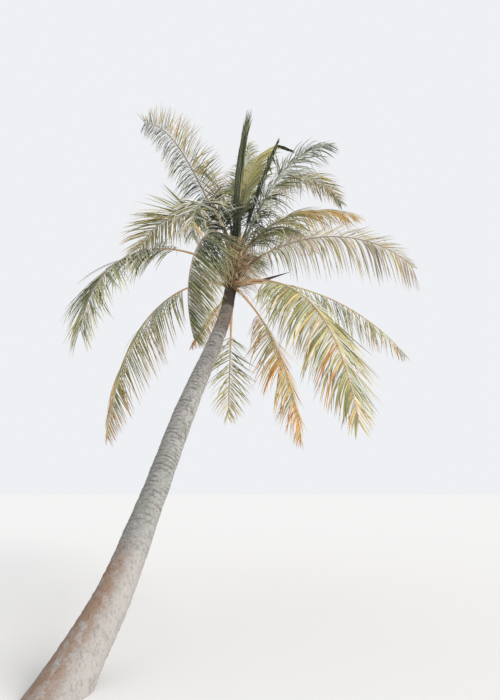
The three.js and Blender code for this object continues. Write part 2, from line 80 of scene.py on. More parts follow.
# %% Colours and nodes
def linear(hex_colour):
    """An sRGB hex colour as linear red, green, blue and alpha.

    Each channel c is c / 12.92 below 0.04045, and ((c + 0.055) / 1.055) to the power 2.4 above.
    """
    srgb = np.array([int(hex_colour[i : i + 2], 16) for i in (1, 3, 5)]) / 255
    low = srgb / 12.92
    high = ((srgb + 0.055) / 1.055) ** 2.4
    return (*np.where(srgb <= 0.04045, low, high), 1.0)


def add_node(tree, kind, numbers=None, feeds=None, **settings):
    """Adds one node with its settings, the numbers on its sockets and the sockets that feed it."""
    node = tree.nodes.new(kind)
    for name, value in settings.items():
        setattr(node, name, value)
    for socket, value in (numbers or {}).items():
        node.inputs[socket].default_value = value
    for socket, source in (feeds or {}).items():
        tree.links.new(source, node.inputs[socket])
    return node


print("linear mid grey:", [round(float(c), 3) for c in linear("#808080")])

# %% Plain and grained materials
DARK_UNDER, LIGHT_OVER = 0.35, 0.6
DULLER, GLOSSIER = 0.15, 0.1


def plain_material(name, colour, roughness, specular=0.3):
    """A material of one colour all over."""
    material = bpy.data.materials.new(name)
    material.use_nodes = True
    shader = material.node_tree.nodes["Principled BSDF"]
    shader.inputs["Base Color"].default_value = linear(colour)
    shader.inputs["Roughness"].default_value = roughness
    shader.inputs["Specular IOR Level"].default_value = specular
    return material


def grained_material(
    name, light, dark, roughness, size, stretch=(1, 1, 1), depth=0.001, specular=0.3
):
    """A material whose two colours, roughness and bump follow one noise on Object coordinates.

    size is the width of a grain in metres, and stretch scales the noise along each axis: a number
    under 1 draws the grain out that way. depth is the height of the bump in metres.
    """
    material = plain_material(name, light, roughness, specular)
    tree = material.node_tree
    shader = tree.nodes["Principled BSDF"]
    place = add_node(tree, "ShaderNodeTexCoord").outputs["Object"]
    place = add_node(tree, "ShaderNodeMapping", {"Scale": stretch}, {"Vector": place})
    numbers = {"Scale": 1 / size, "Detail": 5.0, "Roughness": 0.6}
    feeds = {"Vector": place.outputs["Vector"]}
    grain = add_node(tree, "ShaderNodeTexNoise", numbers, feeds).outputs["Fac"]
    ramp = add_node(tree, "ShaderNodeValToRGB", feeds={"Fac": grain})
    for stop, at, colour in zip(ramp.color_ramp.elements, (DARK_UNDER, LIGHT_OVER), (dark, light)):
        stop.position, stop.color = at, linear(colour)
    tree.links.new(ramp.outputs["Color"], shader.inputs["Base Color"])
    numbers = {"To Min": roughness + DULLER, "To Max": roughness - GLOSSIER}
    gloss = add_node(tree, "ShaderNodeMapRange", numbers, {"Value": grain})
    tree.links.new(gloss.outputs["Result"], shader.inputs["Roughness"])
    bump = add_node(tree, "ShaderNodeBump", {"Strength": 0.6, "Distance": depth}, {"Height": grain})
    tree.links.new(bump.outputs["Normal"], shader.inputs["Normal"])
    return material


print("a grain is dark under", DARK_UNDER, "and light over", LIGHT_OVER, "of the noise")

# %% [markdown]
# ## Arrays into meshes, and soft noise
# A shape here is an array of points and an array of faces, put into a mesh in one go. The noise is
# a grid of random numbers with a smooth blend between them, so that bark, fibres and leaves each
# get their own irregular pattern from the same few lines.


# %% Meshes and noise
def build_piece(name, points, faces, materials, finish=None, layers=None, smooth=True):
    """A mesh object at the origin from vertex and face arrays.

    points is (n, 3) and faces (m, 3) or (m, 4). finish is a material number for each face, and
    layers holds named numbers, one a vertex, that a material can read.
    """
    mesh = bpy.data.meshes.new(name)
    corners = faces.shape[1]
    mesh.vertices.add(len(points))
    mesh.vertices.foreach_set("co", points.astype(np.float32).ravel())
    mesh.loops.add(faces.size)
    mesh.loops.foreach_set("vertex_index", faces.astype(np.int32).ravel())
    mesh.polygons.add(len(faces))
    mesh.polygons.foreach_set("loop_start", np.arange(0, faces.size, corners, dtype=np.int32))
    if finish is not None:
        mesh.polygons.foreach_set("material_index", finish.astype(np.int32))
    mesh.polygons.foreach_set("use_smooth", np.full(len(faces), smooth))
    for layer, values in (layers or {}).items():
        attribute = mesh.attributes.new(layer, "FLOAT", "POINT")
        attribute.data.foreach_set("value", values.astype(np.float32).ravel())
    mesh.update(calc_edges=True)
    mesh.validate()
    for material in materials:
        mesh.materials.append(material)
    piece = bpy.data.objects.new(name, mesh)
    bpy.context.collection.objects.link(piece)
    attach(piece, "root")
    return piece


def soft_noise(u, v, cells_u, cells_v, wrap=True):
    """Smooth random numbers from -1 to 1 over u and v, which run from 0 to 1.

    A grid of cells_u by cells_v random numbers is blended by 3 t^2 - 2 t^3 between its knots. With
    wrap set, its first column follows its last, so that it closes round a trunk.
    """
    knots = rng.uniform(-1, 1, (cells_v + 1, cells_u + (0 if wrap else 1)))
    x, y = u * cells_u, v * cells_v
    i = np.minimum(np.floor(x).astype(int), cells_u - 1)
    j = np.minimum(np.floor(y).astype(int), cells_v - 1)
    fx, fy = (t * t * (3 - 2 * t) for t in (x - i, y - j))
    after = (i + 1) % knots.shape[1]
    below = knots[j, i] * (1 - fx) + knots[j, after] * fx
    above = knots[j + 1, i] * (1 - fx) + knots[j + 1, after] * fx
    return below * (1 - fy) + above * fy


def unit(vectors):
    """Vectors scaled to length 1."""
    return vectors / np.maximum(np.linalg.norm(vectors, axis=-1, keepdims=True), 1e-9)


print("a unit vector:", unit(np.array([3.0, 4.0, 0.0])))


# %% Faces of grids and tubes
def grid_faces(rows, columns):
    """The four-cornered faces of a tube of vertices, row by row, facing out."""
    j = np.arange(rows - 1)[:, None] * columns
    i = np.arange(columns)[None, :]
    right = (i + 1) % columns
    corners = [j + i, j + right, j + columns + right, j + columns + i]
    return np.stack(corners, -1).reshape(-1, 4)


def closed_tube(rings, foot=None):
    """Vertices and triangles of a tube with a flat fan at both ends, facing out.

    The fans meet in the middle of the first and the last ring, or the first one in foot.
    """
    rows, columns = rings.shape[:2]
    foot = rings[0].mean(axis=0) if foot is None else foot
    vertices = np.vstack([rings.reshape(-1, 3), foot, rings[-1].mean(axis=0)])
    quads = grid_faces(rows, columns)
    around = np.arange(columns)
    last = (rows - 1) * columns + around
    caps = [
        np.stack([np.roll(around, -1), around, np.full(columns, rows * columns)], -1),
        np.stack([last, np.roll(last, -1), np.full(columns, rows * columns + 1)], -1),
    ]
    return vertices, np.vstack([quads[:, [0, 1, 2]], quads[:, [0, 2, 3]], *caps])


print("faces of a tube of 3 rings of 4:", len(grid_faces(3, 4)))

# %% [markdown]
# ## The trunk's line
# A coconut palm has no bark that flakes and no rings of growth: its trunk is as thick when it is
# young as when it is old, and it keeps the crescent scar of every fallen leaf. This one leans away
# and to the right and straightens as it climbs. The line is a Catmull-Rom curve through seven
# points, the same as in the solid, and the thickness is read off a short table.

# %% Trunk sizes
TRUNK_AXIS = np.array([
    [0, 0, 0],
    [0.330, 0.560, 0.750],
    [0.645, 1.370, 2.000],
    [1.020, 2.240, 3.540],
    [1.335, 2.760, 4.560],
    [1.555, 3.075, 5.350],
    [1.642, 3.215, 5.920],
])
TRUNK_SHARES = [0, 0.1, 0.22, 0.35, 0.6, 0.8, 1]
TRUNK_DIAMETERS = [0.560, 0.500, 0.425, 0.368, 0.345, 0.282, 0.228]
FLARE_WIDTH, FLARE_HEIGHT = 0.070, 0.160
CUT_BLEND = 0.700
AXIS_SAMPLES = 201


def catmull_rom(controls, samples):
    """Points along a centripetal Catmull-Rom curve, evenly spaced by length.

    Between two control points the curve is a cubic whose slopes come from the neighbours, weighted
    by the square roots of the distances. Past each end a mirrored point stands in.
    """
    ends = [2 * controls[0] - controls[1], *controls, 2 * controls[-1] - controls[-2]]
    p = np.array(ends)
    gaps = np.sqrt(np.linalg.norm(np.diff(p, axis=0), axis=1))[:, None]
    t = np.linspace(0, 1, 200)[None, :, None]
    a, b, c = gaps[:-2, None], gaps[1:-1, None], gaps[2:, None]
    p0, p1, p2, p3 = (p[k : len(p) - 3 + k, None] for k in range(4))
    slope1 = ((p1 - p0) / a - (p2 - p0) / (a + b) + (p2 - p1) / b) * b
    slope2 = ((p2 - p1) / b - (p3 - p1) / (b + c) + (p3 - p2) / c) * b
    curve = (
        p1
        + slope1 * t
        + (3 * (p2 - p1) - 2 * slope1 - slope2) * t**2
        + (2 * (p1 - p2) + slope1 + slope2) * t**3
    )
    points = np.vstack([curve[:, :-1].reshape(-1, 3), curve[-1, -1:]])
    lengths = np.r_[0, np.cumsum(np.linalg.norm(np.diff(points, axis=0), axis=1))]
    at = np.linspace(0, lengths[-1], samples)
    return np.stack([np.interp(at, lengths, points[:, k]) for k in range(3)], -1), lengths[-1]


axis, trunk_length = catmull_rom(TRUNK_AXIS, AXIS_SAMPLES)
print("trunk length along its stem:", round(trunk_length, 2), "m")

# %% [markdown]
# ## Bark relief
# Seen close, the trunk is a stack of shallow swellings. Each leaf scar is a ledge that sags in the
# middle, and between the scars the grey skin is rough and lumpy. A displacement texture could draw
# that, but the relief then lives in the material alone. Here it is real: 900 rings of 100
# vertices, each moved in or out by a sum of ledges and noise, a few millimetres each.

# %% Leaf scars
TRUNK_RINGS, TRUNK_SIDES = 900, 100
SCAR_SPACING = 0.078
SCAR_DEPTH = 0.006
GROOVE_SHARE = 0.15
SKIN_ROUGHNESS = 0.0025
LUMP_HEIGHT = 0.004
CUT_SMOOTH = 0.05


def ring_scars(around, along, length):
    """The height of the leaf scars from 0 in the groove to 1 on the ledge, and the groove alone.

    The place along the stem, in scar spacings, is warped by slow noise so that no two scars are
    alike. Its fraction f rises from 0 to 1 and drops again, so f to the power 0.6 is a swelling
    that ends in a sharp ledge. Where the scars are worn, both are less.
    """
    sag = 0.28 * np.cos(2 * np.pi * (around - 0.25)) + 0.26 * soft_noise(around, along, 7, 70)
    drift = 1.1 * soft_noise(around * 0, along, 1, 14)
    phase = along * length / SCAR_SPACING + sag + drift
    f = phase % 1.0
    groove = np.exp(-((np.minimum(f, 1 - f) / GROOVE_SHARE) ** 2))
    worn = np.clip(0.5 + 1.1 * soft_noise(around, along, 13, 110), 0, 1)
    return f**0.6 * worn, groove * worn


print("leaf scars:", int(trunk_length / SCAR_SPACING), "of", round(1000 * SCAR_DEPTH), "mm")


# %% Trunk surface
def trunk_points():
    """The trunk's vertices, rings square with the stem but level at the ground, and its marks.

    A vertex is centre + radius (cos a across + sin a up), and it then slides along the stem into
    the plane of its ring, which turns from level to square over the first 0.7 m. The marks are
    the groove, the share of the stem's length, and how far a vertex faces +X.
    """
    along = np.linspace(0, 1, TRUNK_RINGS)[:, None]
    around = (np.arange(TRUNK_SIDES) / TRUNK_SIDES)[None, :]
    around, along = np.broadcast_arrays(around, along)
    shares = np.linspace(0, 1, len(axis))
    centre = np.stack([np.interp(along, shares, axis[:, k]) for k in range(3)], -1)
    slopes = unit(np.gradient(axis, axis=0))
    ahead = unit(np.stack([np.interp(along, shares, slopes[:, k]) for k in range(3)], -1))
    across = unit(np.stack([ahead[..., 2], 0 * along, -ahead[..., 0]], -1))
    up = np.cross(ahead, across)

    ledge, groove = ring_scars(around, along, trunk_length)
    fade = np.clip(along * trunk_length / CUT_SMOOTH, 0, 1)
    skin = soft_noise(around, along, 50, 600) + 0.7 * soft_noise(around, along, 24, 220)
    lumps = soft_noise(around, along, 6, 26)
    relief = SCAR_DEPTH * (ledge - 0.4) + SKIN_ROUGHNESS * skin + LUMP_HEIGHT * lumps
    flare = FLARE_WIDTH * np.exp(-centre[..., 2] / FLARE_HEIGHT)
    radius = (np.interp(along, TRUNK_SHARES, TRUNK_DIAMETERS) + flare) / 2 + relief * fade
    angle = 2 * np.pi * around
    offset = np.cos(angle)[..., None] * across + np.sin(angle)[..., None] * up
    points = centre + radius[..., None] * offset

    square = np.clip(along * trunk_length / CUT_BLEND, 0, 1)
    square = (square * square * (3 - 2 * square))[..., None]
    plane = unit(np.array([0, 0, 1.0]) * (1 - square) + ahead * square)
    slide = ((points - centre) * plane).sum(-1) / (ahead * plane).sum(-1)
    points = points - slide[..., None] * ahead
    return points, {"groove": groove, "height": along, "side": offset[..., 0]}


points, marks = trunk_points()
trunk_vertices, trunk_faces = closed_tube(points, foot=np.zeros(3))
print("trunk triangles:", len(trunk_faces))

# %% [markdown]
# ## Weathered palm bark
# Old palm bark is dead, sun-bleached fibre: matt, pale grey, darker in the scars, with greenish lichen
# half way up, a rusty stain near the foot and almost black fibre under the crown. On top of that, the side
# that faces the sun is painted paler: painted light. What has to follow the scars is mixed by numbers that
# the mesh carries from its own relief. The rest is noise on Object coordinates. Real specks are a few
# millimetres across, but a pixel of the render covers about 15 mm of bark, so they are drawn at 30 mm and
# the cracks at 45 mm. Roughness 0.9 gives the dry chalky look, with hardly any gloss.

# %% Bark colours
# Each pattern's size in metres, and how many times as tall as wide it is.
BARK_PATTERNS = {
    "specks": (0.03, 1),
    "blotches": (0.16, 1),
    "dashes": (0.07, 0.3),
    "streaks": (0.04, 2),
    "patches": (0.12, 2),
    "cracks": (0.045, 8),
}
BARE_BARK = "#9b9894"
FOOT = ("height", 0.27, 0.19, 1)
STAIN = (FOOT, ("patches", 0.33, 0.55, 0.85), ("side", 0.6, -0.15, 1))
# Each colour covers those before it, by the product of its masks. A mask rises from 0 at its first
# number to its third at its second, or is the mark itself where it has no numbers.
BARK_LAYERS = [
    # Mottled fibre, with painted light that makes the side facing the sun paler, and darker low down
    ("#b3afab", ("specks", 0.38, 0.62, 1)),
    ("#c9c4be", ("side", 0, 1, 0.75)),
    ("#7b7874", ("blotches", 0.52, 0.72, 0.7)),
    ("#5d605b", ("height", 0.7, 0.3, 0.45)),
    # Lichen above the foot
    ("#858a7e", ("blotches", 0.55, 0.3, 0.8), ("height", 0.22, 0.34, 1)),
    # The foot's pinkish fibre, and above it short level dashes
    ("#a59c96", FOOT, ("specks", 0.3, 0.6, 0.7)),
    ("#5e5954", ("dashes", 0.52, 0.66, 0.6), ("height", 0.16, 0.3, 1)),
    ("#6d6660", ("streaks", 0.5, 0.66, 0.4)),
    # The rusty stain on the left of the foot, with darker specks in it
    ("#8a6f5a", *STAIN),
    ("#5f4b3c", *STAIN, ("specks", 0.54, 0.66, 0.8)),
    # Ever darker fibre under the crown, with paler ledges
    ("#786d64", ("height", 0.83, 0.87, 0.8)),
    ("#4f453d", ("height", 0.87, 0.9, 0.8)),
    ("#c2b4a4", ("groove", 0.3, 0, 0.3), ("height", 0.85, 0.9, 1)),
    ("#3f342d", ("height", 0.93, 0.95, 0.9)),
    # The scars' grooves and the upright cracks
    ("#4a443e", ("groove",), ("height", 0.16, 0.4, 0.75)),
    ("#564f49", ("cracks", 0.61, 0.7, 0.8), ("height", -0.15, 0.3, 1)),
]
print("bark layers:", len(BARK_LAYERS))

# %% Bark material
# A Mix node keeps its colour sockets at these places, after those for numbers and vectors.
COLOUR_A, COLOUR_B, COLOUR_OUT = 6, 7, 2


def bark_material():
    """Grey fibre, mottled, darker in scars and cracks, with lichen, a stain, a dark top and painted light
    on the side toward the sun.
    """
    material = plain_material("weathered palm bark", BARE_BARK, 0.9, 0.2)
    tree = material.node_tree
    shader = tree.nodes["Principled BSDF"]
    sources = {}
    for name in marks:
        sources[name] = add_node(tree, "ShaderNodeAttribute", attribute_name=name).outputs["Fac"]
    place = add_node(tree, "ShaderNodeTexCoord").outputs["Object"]
    for name, (size, upright) in BARK_PATTERNS.items():
        stretch = {"Scale": (1.0, 1.0, 1 / upright)}
        drawn = add_node(tree, "ShaderNodeMapping", stretch, {"Vector": place})
        numbers = {"Scale": 1 / size, "Detail": 4.0, "Roughness": 0.65}
        feeds = {"Vector": drawn.outputs["Vector"]}
        sources[name] = add_node(tree, "ShaderNodeTexNoise", numbers, feeds).outputs["Fac"]

    skin = None
    for colour, *masks in BARK_LAYERS:
        share = None
        for name, *limits in masks:
            mask = sources[name]
            if limits:
                numbers = dict(zip(("From Min", "From Max", "To Max"), limits))
                soft = add_node(tree, "ShaderNodeMapRange", numbers, {"Value": mask})
                soft.interpolation_type = "SMOOTHSTEP"
                mask = soft.outputs["Result"]
            if share:
                feeds = {0: share, 1: mask}
                mask = add_node(tree, "ShaderNodeMath", feeds=feeds, operation="MULTIPLY").outputs[0]
            share = mask
        mix = add_node(tree, "ShaderNodeMix", feeds={"Factor": share}, data_type="RGBA")
        mix.inputs[COLOUR_A].default_value = linear(BARE_BARK)
        mix.inputs[COLOUR_B].default_value = linear(colour)
        if skin:
            tree.links.new(skin, mix.inputs[COLOUR_A])
        skin = mix.outputs[COLOUR_OUT]
    tree.links.new(skin, shader.inputs["Base Color"])
    numbers = {"Strength": 0.5, "Distance": 0.004}
    bump = add_node(tree, "ShaderNodeBump", numbers, {"Height": sources["specks"]})
    tree.links.new(bump.outputs["Normal"], shader.inputs["Normal"])
    return material


layers = {name: np.r_[values.ravel(), 0.0, values[-1].mean()] for name, values in marks.items()}
trunk = build_piece("trunk_bark", trunk_vertices, trunk_faces, [bark_material()], layers=layers)
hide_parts("trunk")
print("marks that the bark reads:", list(layers))

# %% [markdown]
# ## How a frond is laid out
# A frond is one feather leaf: a stalk that clasps the heart with a boot, a rib that arches over,
# and two ranks of long leaflets. The droop grows with a power of the distance, so that some leaves
# sag evenly and others break over near the tip. The table below has one row a frond, with the
# solid's own numbers for its path and the set of its leaflets. What the solid doesn't have is the
# look: how ruffled, how broad and how pale the leaflets are, and the frond's age by colour.

# %% Frond sizes
HEART_FOOT = np.array([1.642, 3.215, 5.920])
HEART_TOP = np.array([1.735, 3.360, 6.950])
HEART_SHARES = [0, 0.12, 0.35, 0.7, 1]
HEART_DIAMETERS = [0.226, 0.262, 0.250, 0.200, 0.130]
SEAT_RADIUS = 0.065
STUB_LENGTH = 0.430
BOOT, STALK, RIB, TIP = (0.160, 0.046), (0.078, 0.046), (0.044, 0.034), (0.012, 0.012)
FOOT_SPLAY, TIP_SPLAY = 64, 30
RIB_STEPS = 60
ROLL_SPEED = 6
KINK_AZIMUTH, KINK_RISE = 355, -28
# The numbers of the pale paints in the list of leaf paints; the first two also serve as painted highlights
# and reflections
SILVER_AND_GLINT, BLEACHED, WEATHERED = 10, 11, 12

# seat is the height in the heart, rise, droop, bend and sweep make the rib's curve, and angles are
# in degrees.
COLUMNS = ("name", "seat", "azimuth", "rise", "droop", "bend", "sweep", "length")
# lift raises the leaflets out of the blade and roll turns the blade about its rib. limp is how far
# they hang and wind how far they blow. leaflet is the longest one, taper what the last ones lose,
# bare the share of the rib without any, kink where the rib is broken, split whether the solid is
# two nodes, and left what is different in the rank on the rib's left.
SHAPE = dict(
    lift=0, roll=0, limp=0.9, wind=0.25, leaflet=0.95, taper=0.75, bare=0.2, kink=2, split=False, left={}
)
# silver is the share of pale leaflets, which are partly the real pale undersides and bleached leaf and
# partly painted highlights and reflections, and bleach the share of those in the second pale paint.
# ruffle is how uneven they lie, gather how wide they spread, broad how wide they are, fill how many
# are left and spread how far their ages differ. tint is the frond's age from 0 to 1, what the tip
# of its rib adds, and what the tip of each leaflet adds.
LOOK = dict(
    silver=0.15, bleach=0.4, pale=(SILVER_AND_GLINT, BLEACHED), ruffle=1.0, gather=1.0, broad=1.0, fill=1.0,
    spread=0.08, stalk="straw",
)
print("heart length:", round(float(np.linalg.norm(HEART_TOP - HEART_FOOT)), 2), "m")

# %% Table of fronds
FRONDS = [
    (("01_upper_left", 0.95, 160, 65, 38, 3.6, -23, 5.35), dict(
        lift=40, roll=60, limp=0.25, wind=0.05, leaflet=0.8, taper=0.4, bare=0.12, silver=0.28,
        bleach=0.5, ruffle=1.2, gather=1.35, spread=0.14, stalk="brown", tint=(0.55, 0.0, 0.05),
        left=dict(lift=-15, limp=2, leaflet=0.7, taper=0.5, tint=(0.12, 0.0, 0.3)),
    )),
    (("02_left_arch", 0.5, 171, 82, 165, 1.3, -31, 3.75), dict(
        lift=-20, roll=25, limp=0.7, wind=0.1, leaflet=1.05, split=True, silver=0.25, ruffle=0.9,
        broad=1.25, spread=0.06, stalk="brown", tint=(0.53, 0.0, 0.05),
        left=dict(lift=25, limp=0.3, leaflet=1.1),
    )),
    (("03_left_long", 0.3, 200, 50, 135, 0.7, 45, 4.15), dict(
        lift=-5, limp=0.6, leaflet=1.1, taper=0.55, bare=0.3, split=True, silver=0.25, ruffle=0.8,
        stalk="brown", tint=(0.3, 0.08, 0.25),
    )),
    (("04_front_left", 0.55, 261, 50, 165, 0.7, -30, 3.85), dict(
        lift=-70, roll=-50, limp=0.3, leaflet=1.0, split=True, silver=0.12, pale=(WEATHERED, BLEACHED),
        ruffle=0.5, stalk="brown", tint=(0.16, 0.2, 0.3),
    )),
    (("05_left_low", 0.1, 160, 36, 124, 0.6, -30, 4.9), dict(
        lift=-55, limp=0.6, leaflet=1.15, bare=0.22, split=True, silver=0.22, ruffle=0.7, fill=0.8,
        spread=0.06, stalk="orange", tint=(0.4, 0.2, 0.45),
    )),
    (("06_trunk_left", 0.06, 110, -10, 0, 1, 5, 2.8), dict(
        lift=-30, limp=1.2, leaflet=0.45, silver=0.1, tint=(0.7, 0.1, 0.25),
    )),
    (("07_trunk_back", 0.06, 90, -25, 60, 0.6, 10, 2.85), dict(
        lift=-20, limp=0.4, leaflet=0.75, bare=0.38, split=True, silver=0.1, ruffle=1.2, fill=0.75,
        stalk="orange", tint=(0.47, 0.1, 0.15),
    )),
    (("08_orange_hang", 0.06, 313, -40, 44, 0.9, 17, 3.52), dict(
        lift=-30, limp=0.5, bare=0.3, silver=0.05, ruffle=0.8, spread=0.12, stalk="orange",
        tint=(0.6, 0.12, 0.12),
    )),
    (("09_right_low", 0.15, 308, -12, 60, 1.1, -29, 5.2), dict(
        lift=-30, limp=0.5, leaflet=1.15, taper=0.8, bare=0.22, silver=0.3, bleach=0.6, ruffle=0.8,
        broad=1.3, spread=0.1, stalk="orange", tint=(0.48, 0.1, 0.14),
    )),
    (("10_right_mid", 0.2, 15, 10, 55, 1, 5, 4.2), dict(
        lift=-50, limp=1.4, leaflet=0.9, silver=0.5, ruffle=1.3, fill=0.5, stalk="orange",
        tint=(0.42, 0.25, 0.25),
    )),
    (("11_right_long", 0.35, 350, 40, 95, 1.1, -15, 3.85), dict(
        roll=-35, limp=3, wind=0.0, leaflet=1.35, taper=0.55, bare=0.15, silver=0.7, bleach=0.6,
        pale=(WEATHERED, BLEACHED), ruffle=0.5, stalk="brown", tint=(0.48, 0.0, 0.05),
        left=dict(lift=25, limp=0.3, leaflet=0.68, taper=0.8),
    )),
    (("12_right_back", 0.45, 23, 70, 76, 1.1, -9, 3.45), dict(
        lift=10, roll=-25, limp=1.4, leaflet=1.3, taper=0.6, bare=0.17, silver=0.35, bleach=0.75,
        ruffle=0.7, broad=1.3, spread=0.06, stalk="green", tint=(0.63, 0.0, 0.0),
    )),
    (("13_right_high_back", 0.65, 24, 71, 124, 2.5, 9, 4.45), dict(
        limp=0.8, leaflet=0.9, split=True, silver=0.3, broad=1.2, spread=0.14, stalk="green",
        tint=(0.5, 0.05, 0.15),
    )),
    (("14_right_high_front", 0.8, 332, 61, 82, 3, -2, 3.05), dict(
        limp=1.2, leaflet=0.9, silver=0.85, bleach=0.15, ruffle=1.3, gather=0.85, stalk="green",
        tint=(0.16, 0.2, 0.2),
    )),
    (("15_kinked", 0.95, 10, 72, 0, 1.5, -5, 3.1), dict(
        lift=60, limp=0.3, leaflet=0.45, kink=0.88, silver=0.0, ruffle=0.5, gather=0.3, broad=3,
        stalk="green", tint=(0.14, 0.05, 0.1),
    )),
    (("16_back_mid", 0.4, 85, 50, 65, 1.2, 0, 3.9), dict(tint=(0.3, 0.12, 0.2))),
    (("17_centre_back", 1, 65, 80, 45, 2.4, -20, 3.7), dict(
        lift=10, limp=0.7, leaflet=0.85, silver=0.0, ruffle=0.5, gather=0.65, broad=1.9,
        spread=0.05, stalk="green", tint=(0.53, 0.0, 0.0),
    )),
    (("18_back_high", 0.85, 84, 70, 5, 1.9, -10, 4.2), dict(
        lift=10, limp=0.6, leaflet=0.75, silver=0.1, gather=0.7, tint=(0.3, 0.08, 0.15),
    )),
    (("19_back_left", 0.85, 125, 88, 50, 0.9, 0, 3.4), dict(
        lift=20, limp=0.3, silver=0.3, ruffle=1.2, fill=0.6, stalk="green", tint=(0.2, 0.2, 0.2),
    )),
    (("20_front_high", 0.75, 235, 80, 185, 1, 25, 2.6), dict(
        lift=10, leaflet=0.85, split=True, silver=0.55, bleach=0.6, ruffle=2.0, broad=1.5,
        spread=0.14, tint=(0.25, 0.1, 0.3),
    )),
    (("21_front_right", 0.12, 325, -10, 75, 2, -10, 2.5), dict(
        limp=1.1, leaflet=0.75, bare=0.35, silver=0.2, ruffle=1.3, stalk="orange",
        tint=(0.3, 0.12, 0.25),
    )),
    (("22_back_low", 0.25, 120, 55, 80, 0.8, -20, 3.5), dict(
        lift=-40, limp=1.1, leaflet=0.6, silver=0.2, tint=(0.6, 0.12, 0.15),
    )),
    (("23_back_right", 0.5, 55, 58, 70, 1.3, 0, 4.2), dict(
        silver=0.2, ruffle=1.2, tint=(0.45, 0.15, 0.2),
    )),
]
FRONDS = [{**SHAPE, **LOOK, **dict(zip(COLUMNS, row)), **own} for row, own in FRONDS]
print("fronds:", len(FRONDS))


# %% [markdown]
# ## The rib's path
# The path is a sum of sixty short steps, each in the direction that the frond has there. A spline
# through drawn points would be as good to look at, but the steps are the solid's own rule, so the
# leaf can't drift away from the frame.

# %% Rib path
def heading(frond, s):
    """The rib's direction at the shares s of its length, and the level direction to its right.

    Its angle above level is rise - droop s^bend and its compass angle is azimuth + sweep s. Past a
    kink both are fixed.
    """
    kinked = s > frond["kink"]
    rise = np.where(kinked, KINK_RISE, frond["rise"] - frond["droop"] * s ** frond["bend"])
    azimuth = np.where(kinked, KINK_AZIMUTH, frond["azimuth"] + frond["sweep"] * s)
    rise, azimuth = np.radians(rise), np.radians(azimuth)
    level = np.cos(rise)
    ahead = np.stack([level * np.cos(azimuth), level * np.sin(azimuth), np.sin(rise)], -1)
    across = np.stack([np.sin(azimuth), -np.cos(azimuth), 0 * azimuth], -1)
    return ahead, across


def rib_path(frond):
    """The points of the rib, one a step, from its seat in the heart to its tip."""
    outward = np.radians(frond["azimuth"])
    seat = HEART_FOOT + frond["seat"] * (HEART_TOP - HEART_FOOT)
    seat = seat + SEAT_RADIUS * np.array([np.cos(outward), np.sin(outward), 0])
    middles = (np.arange(RIB_STEPS) + 0.5) / RIB_STEPS
    steps = heading(frond, middles)[0] * frond["length"] / RIB_STEPS
    return seat + np.vstack([np.zeros(3), np.cumsum(steps, axis=0)])


for frond in FRONDS:
    frond["path"] = rib_path(frond)
tips = np.array([frond["path"][-1] for frond in FRONDS])
print("rib tips reach", tips.min(axis=0).round(2), "to", tips.max(axis=0).round(2))


# %% Places and sizes along a rib
def station(frond, s):
    """Places on the rib at the shares s, the blade's directions ahead, across and up, and its share.

    The blade rolls about the rib: across turns by the roll angle in its first sixth.
    """
    shares = np.linspace(0, 1, RIB_STEPS + 1)
    centre = np.stack([np.interp(s, shares, frond["path"][:, k]) for k in range(3)], -1)
    ahead, across = heading(frond, s)
    blade = np.clip((s - frond["bare"]) / (1 - frond["bare"]), 0, 1)
    turn = (np.radians(frond["roll"]) * np.minimum(1, blade * ROLL_SPEED))[..., None]
    across = np.cos(turn) * across + np.sin(turn) * np.cross(across, ahead)
    return centre, ahead, across, np.cross(across, ahead), blade


def rib_size(frond, s):
    """Width and thickness of the boot, stalk and rib at the shares s, in metres.

    Both are straight lines between boot, stalk, rib and tip, and the boot adds to the width what
    is left of 1 - sqrt(distance / 0.43 m).
    """
    distance = s * frond["length"]
    foot, end = frond["bare"] * frond["length"], frond["length"]
    boot = 1 - np.sqrt(np.clip(distance / STUB_LENGTH, 0, 1))
    width = np.interp(distance, [0, STUB_LENGTH, foot, end], [STALK[0], STALK[0], RIB[0], TIP[0]])
    thickness = np.interp(distance, [0, foot, end], [STALK[1], RIB[1], TIP[1]])
    return width + boot * (BOOT[0] - STALK[0]), thickness


widths = rib_size(FRONDS[0], np.array([0.0, 1.0]))[0]
print("width at boot and tip, mm:", (1000 * widths).round())

# %% [markdown]
# ## Leaf colours by age
# The fronds of a coconut palm age from the middle of the crown outwards: the closed spear is deep
# green, the open leaves are grey-green and olive, and the oldest ones fade through straw and ochre
# to brown, from the tips of the leaflets inwards. A colour ramp in one material could do this, but
# an export loses where such a pattern falls on thousands of thin leaflets. So there is one row of
# plain paints, and each stretch of a leaflet gets the one that its age asks for. Leaf wax makes
# them a little glossy, roughness 0.55, and dry leaf is duller.

# %% Leaf paints
# The first ten go from young to dead. The last three are for pale leaflets: the waxy underside that the
# wind turns up, and dead leaf that the sun has bleached or the rain has greyed. The silver and the
# bleached paint also stand for painted highlights and sky reflections on the leaflets.
LEAF_PAINTS = [
    ("deep green leaf", "#333a2a", 0.5),
    ("shaded green leaf", "#4b503a", 0.5),
    ("green leaf", "#66694d", 0.55),
    ("grey green leaf", "#80825f", 0.55),
    ("olive leaf", "#9b9967", 0.55),
    ("yellow green leaf", "#b7ae74", 0.55),
    ("straw leaf", "#cab37c", 0.6),
    ("ochre leaf", "#cd9a5a", 0.65),
    ("orange brown leaf", "#b8854f", 0.7),
    ("dry brown leaf", "#937459", 0.75),
    ("silver green leaf", "#aeb3a6", 0.5),
    ("bleached leaf", "#c8c0b1", 0.6),
    ("weathered leaf", "#a19286", 0.7),
]
AGES = 10
leaf_paints = [plain_material(*paint) for paint in LEAF_PAINTS]
print("leaf paints:", len(leaf_paints))

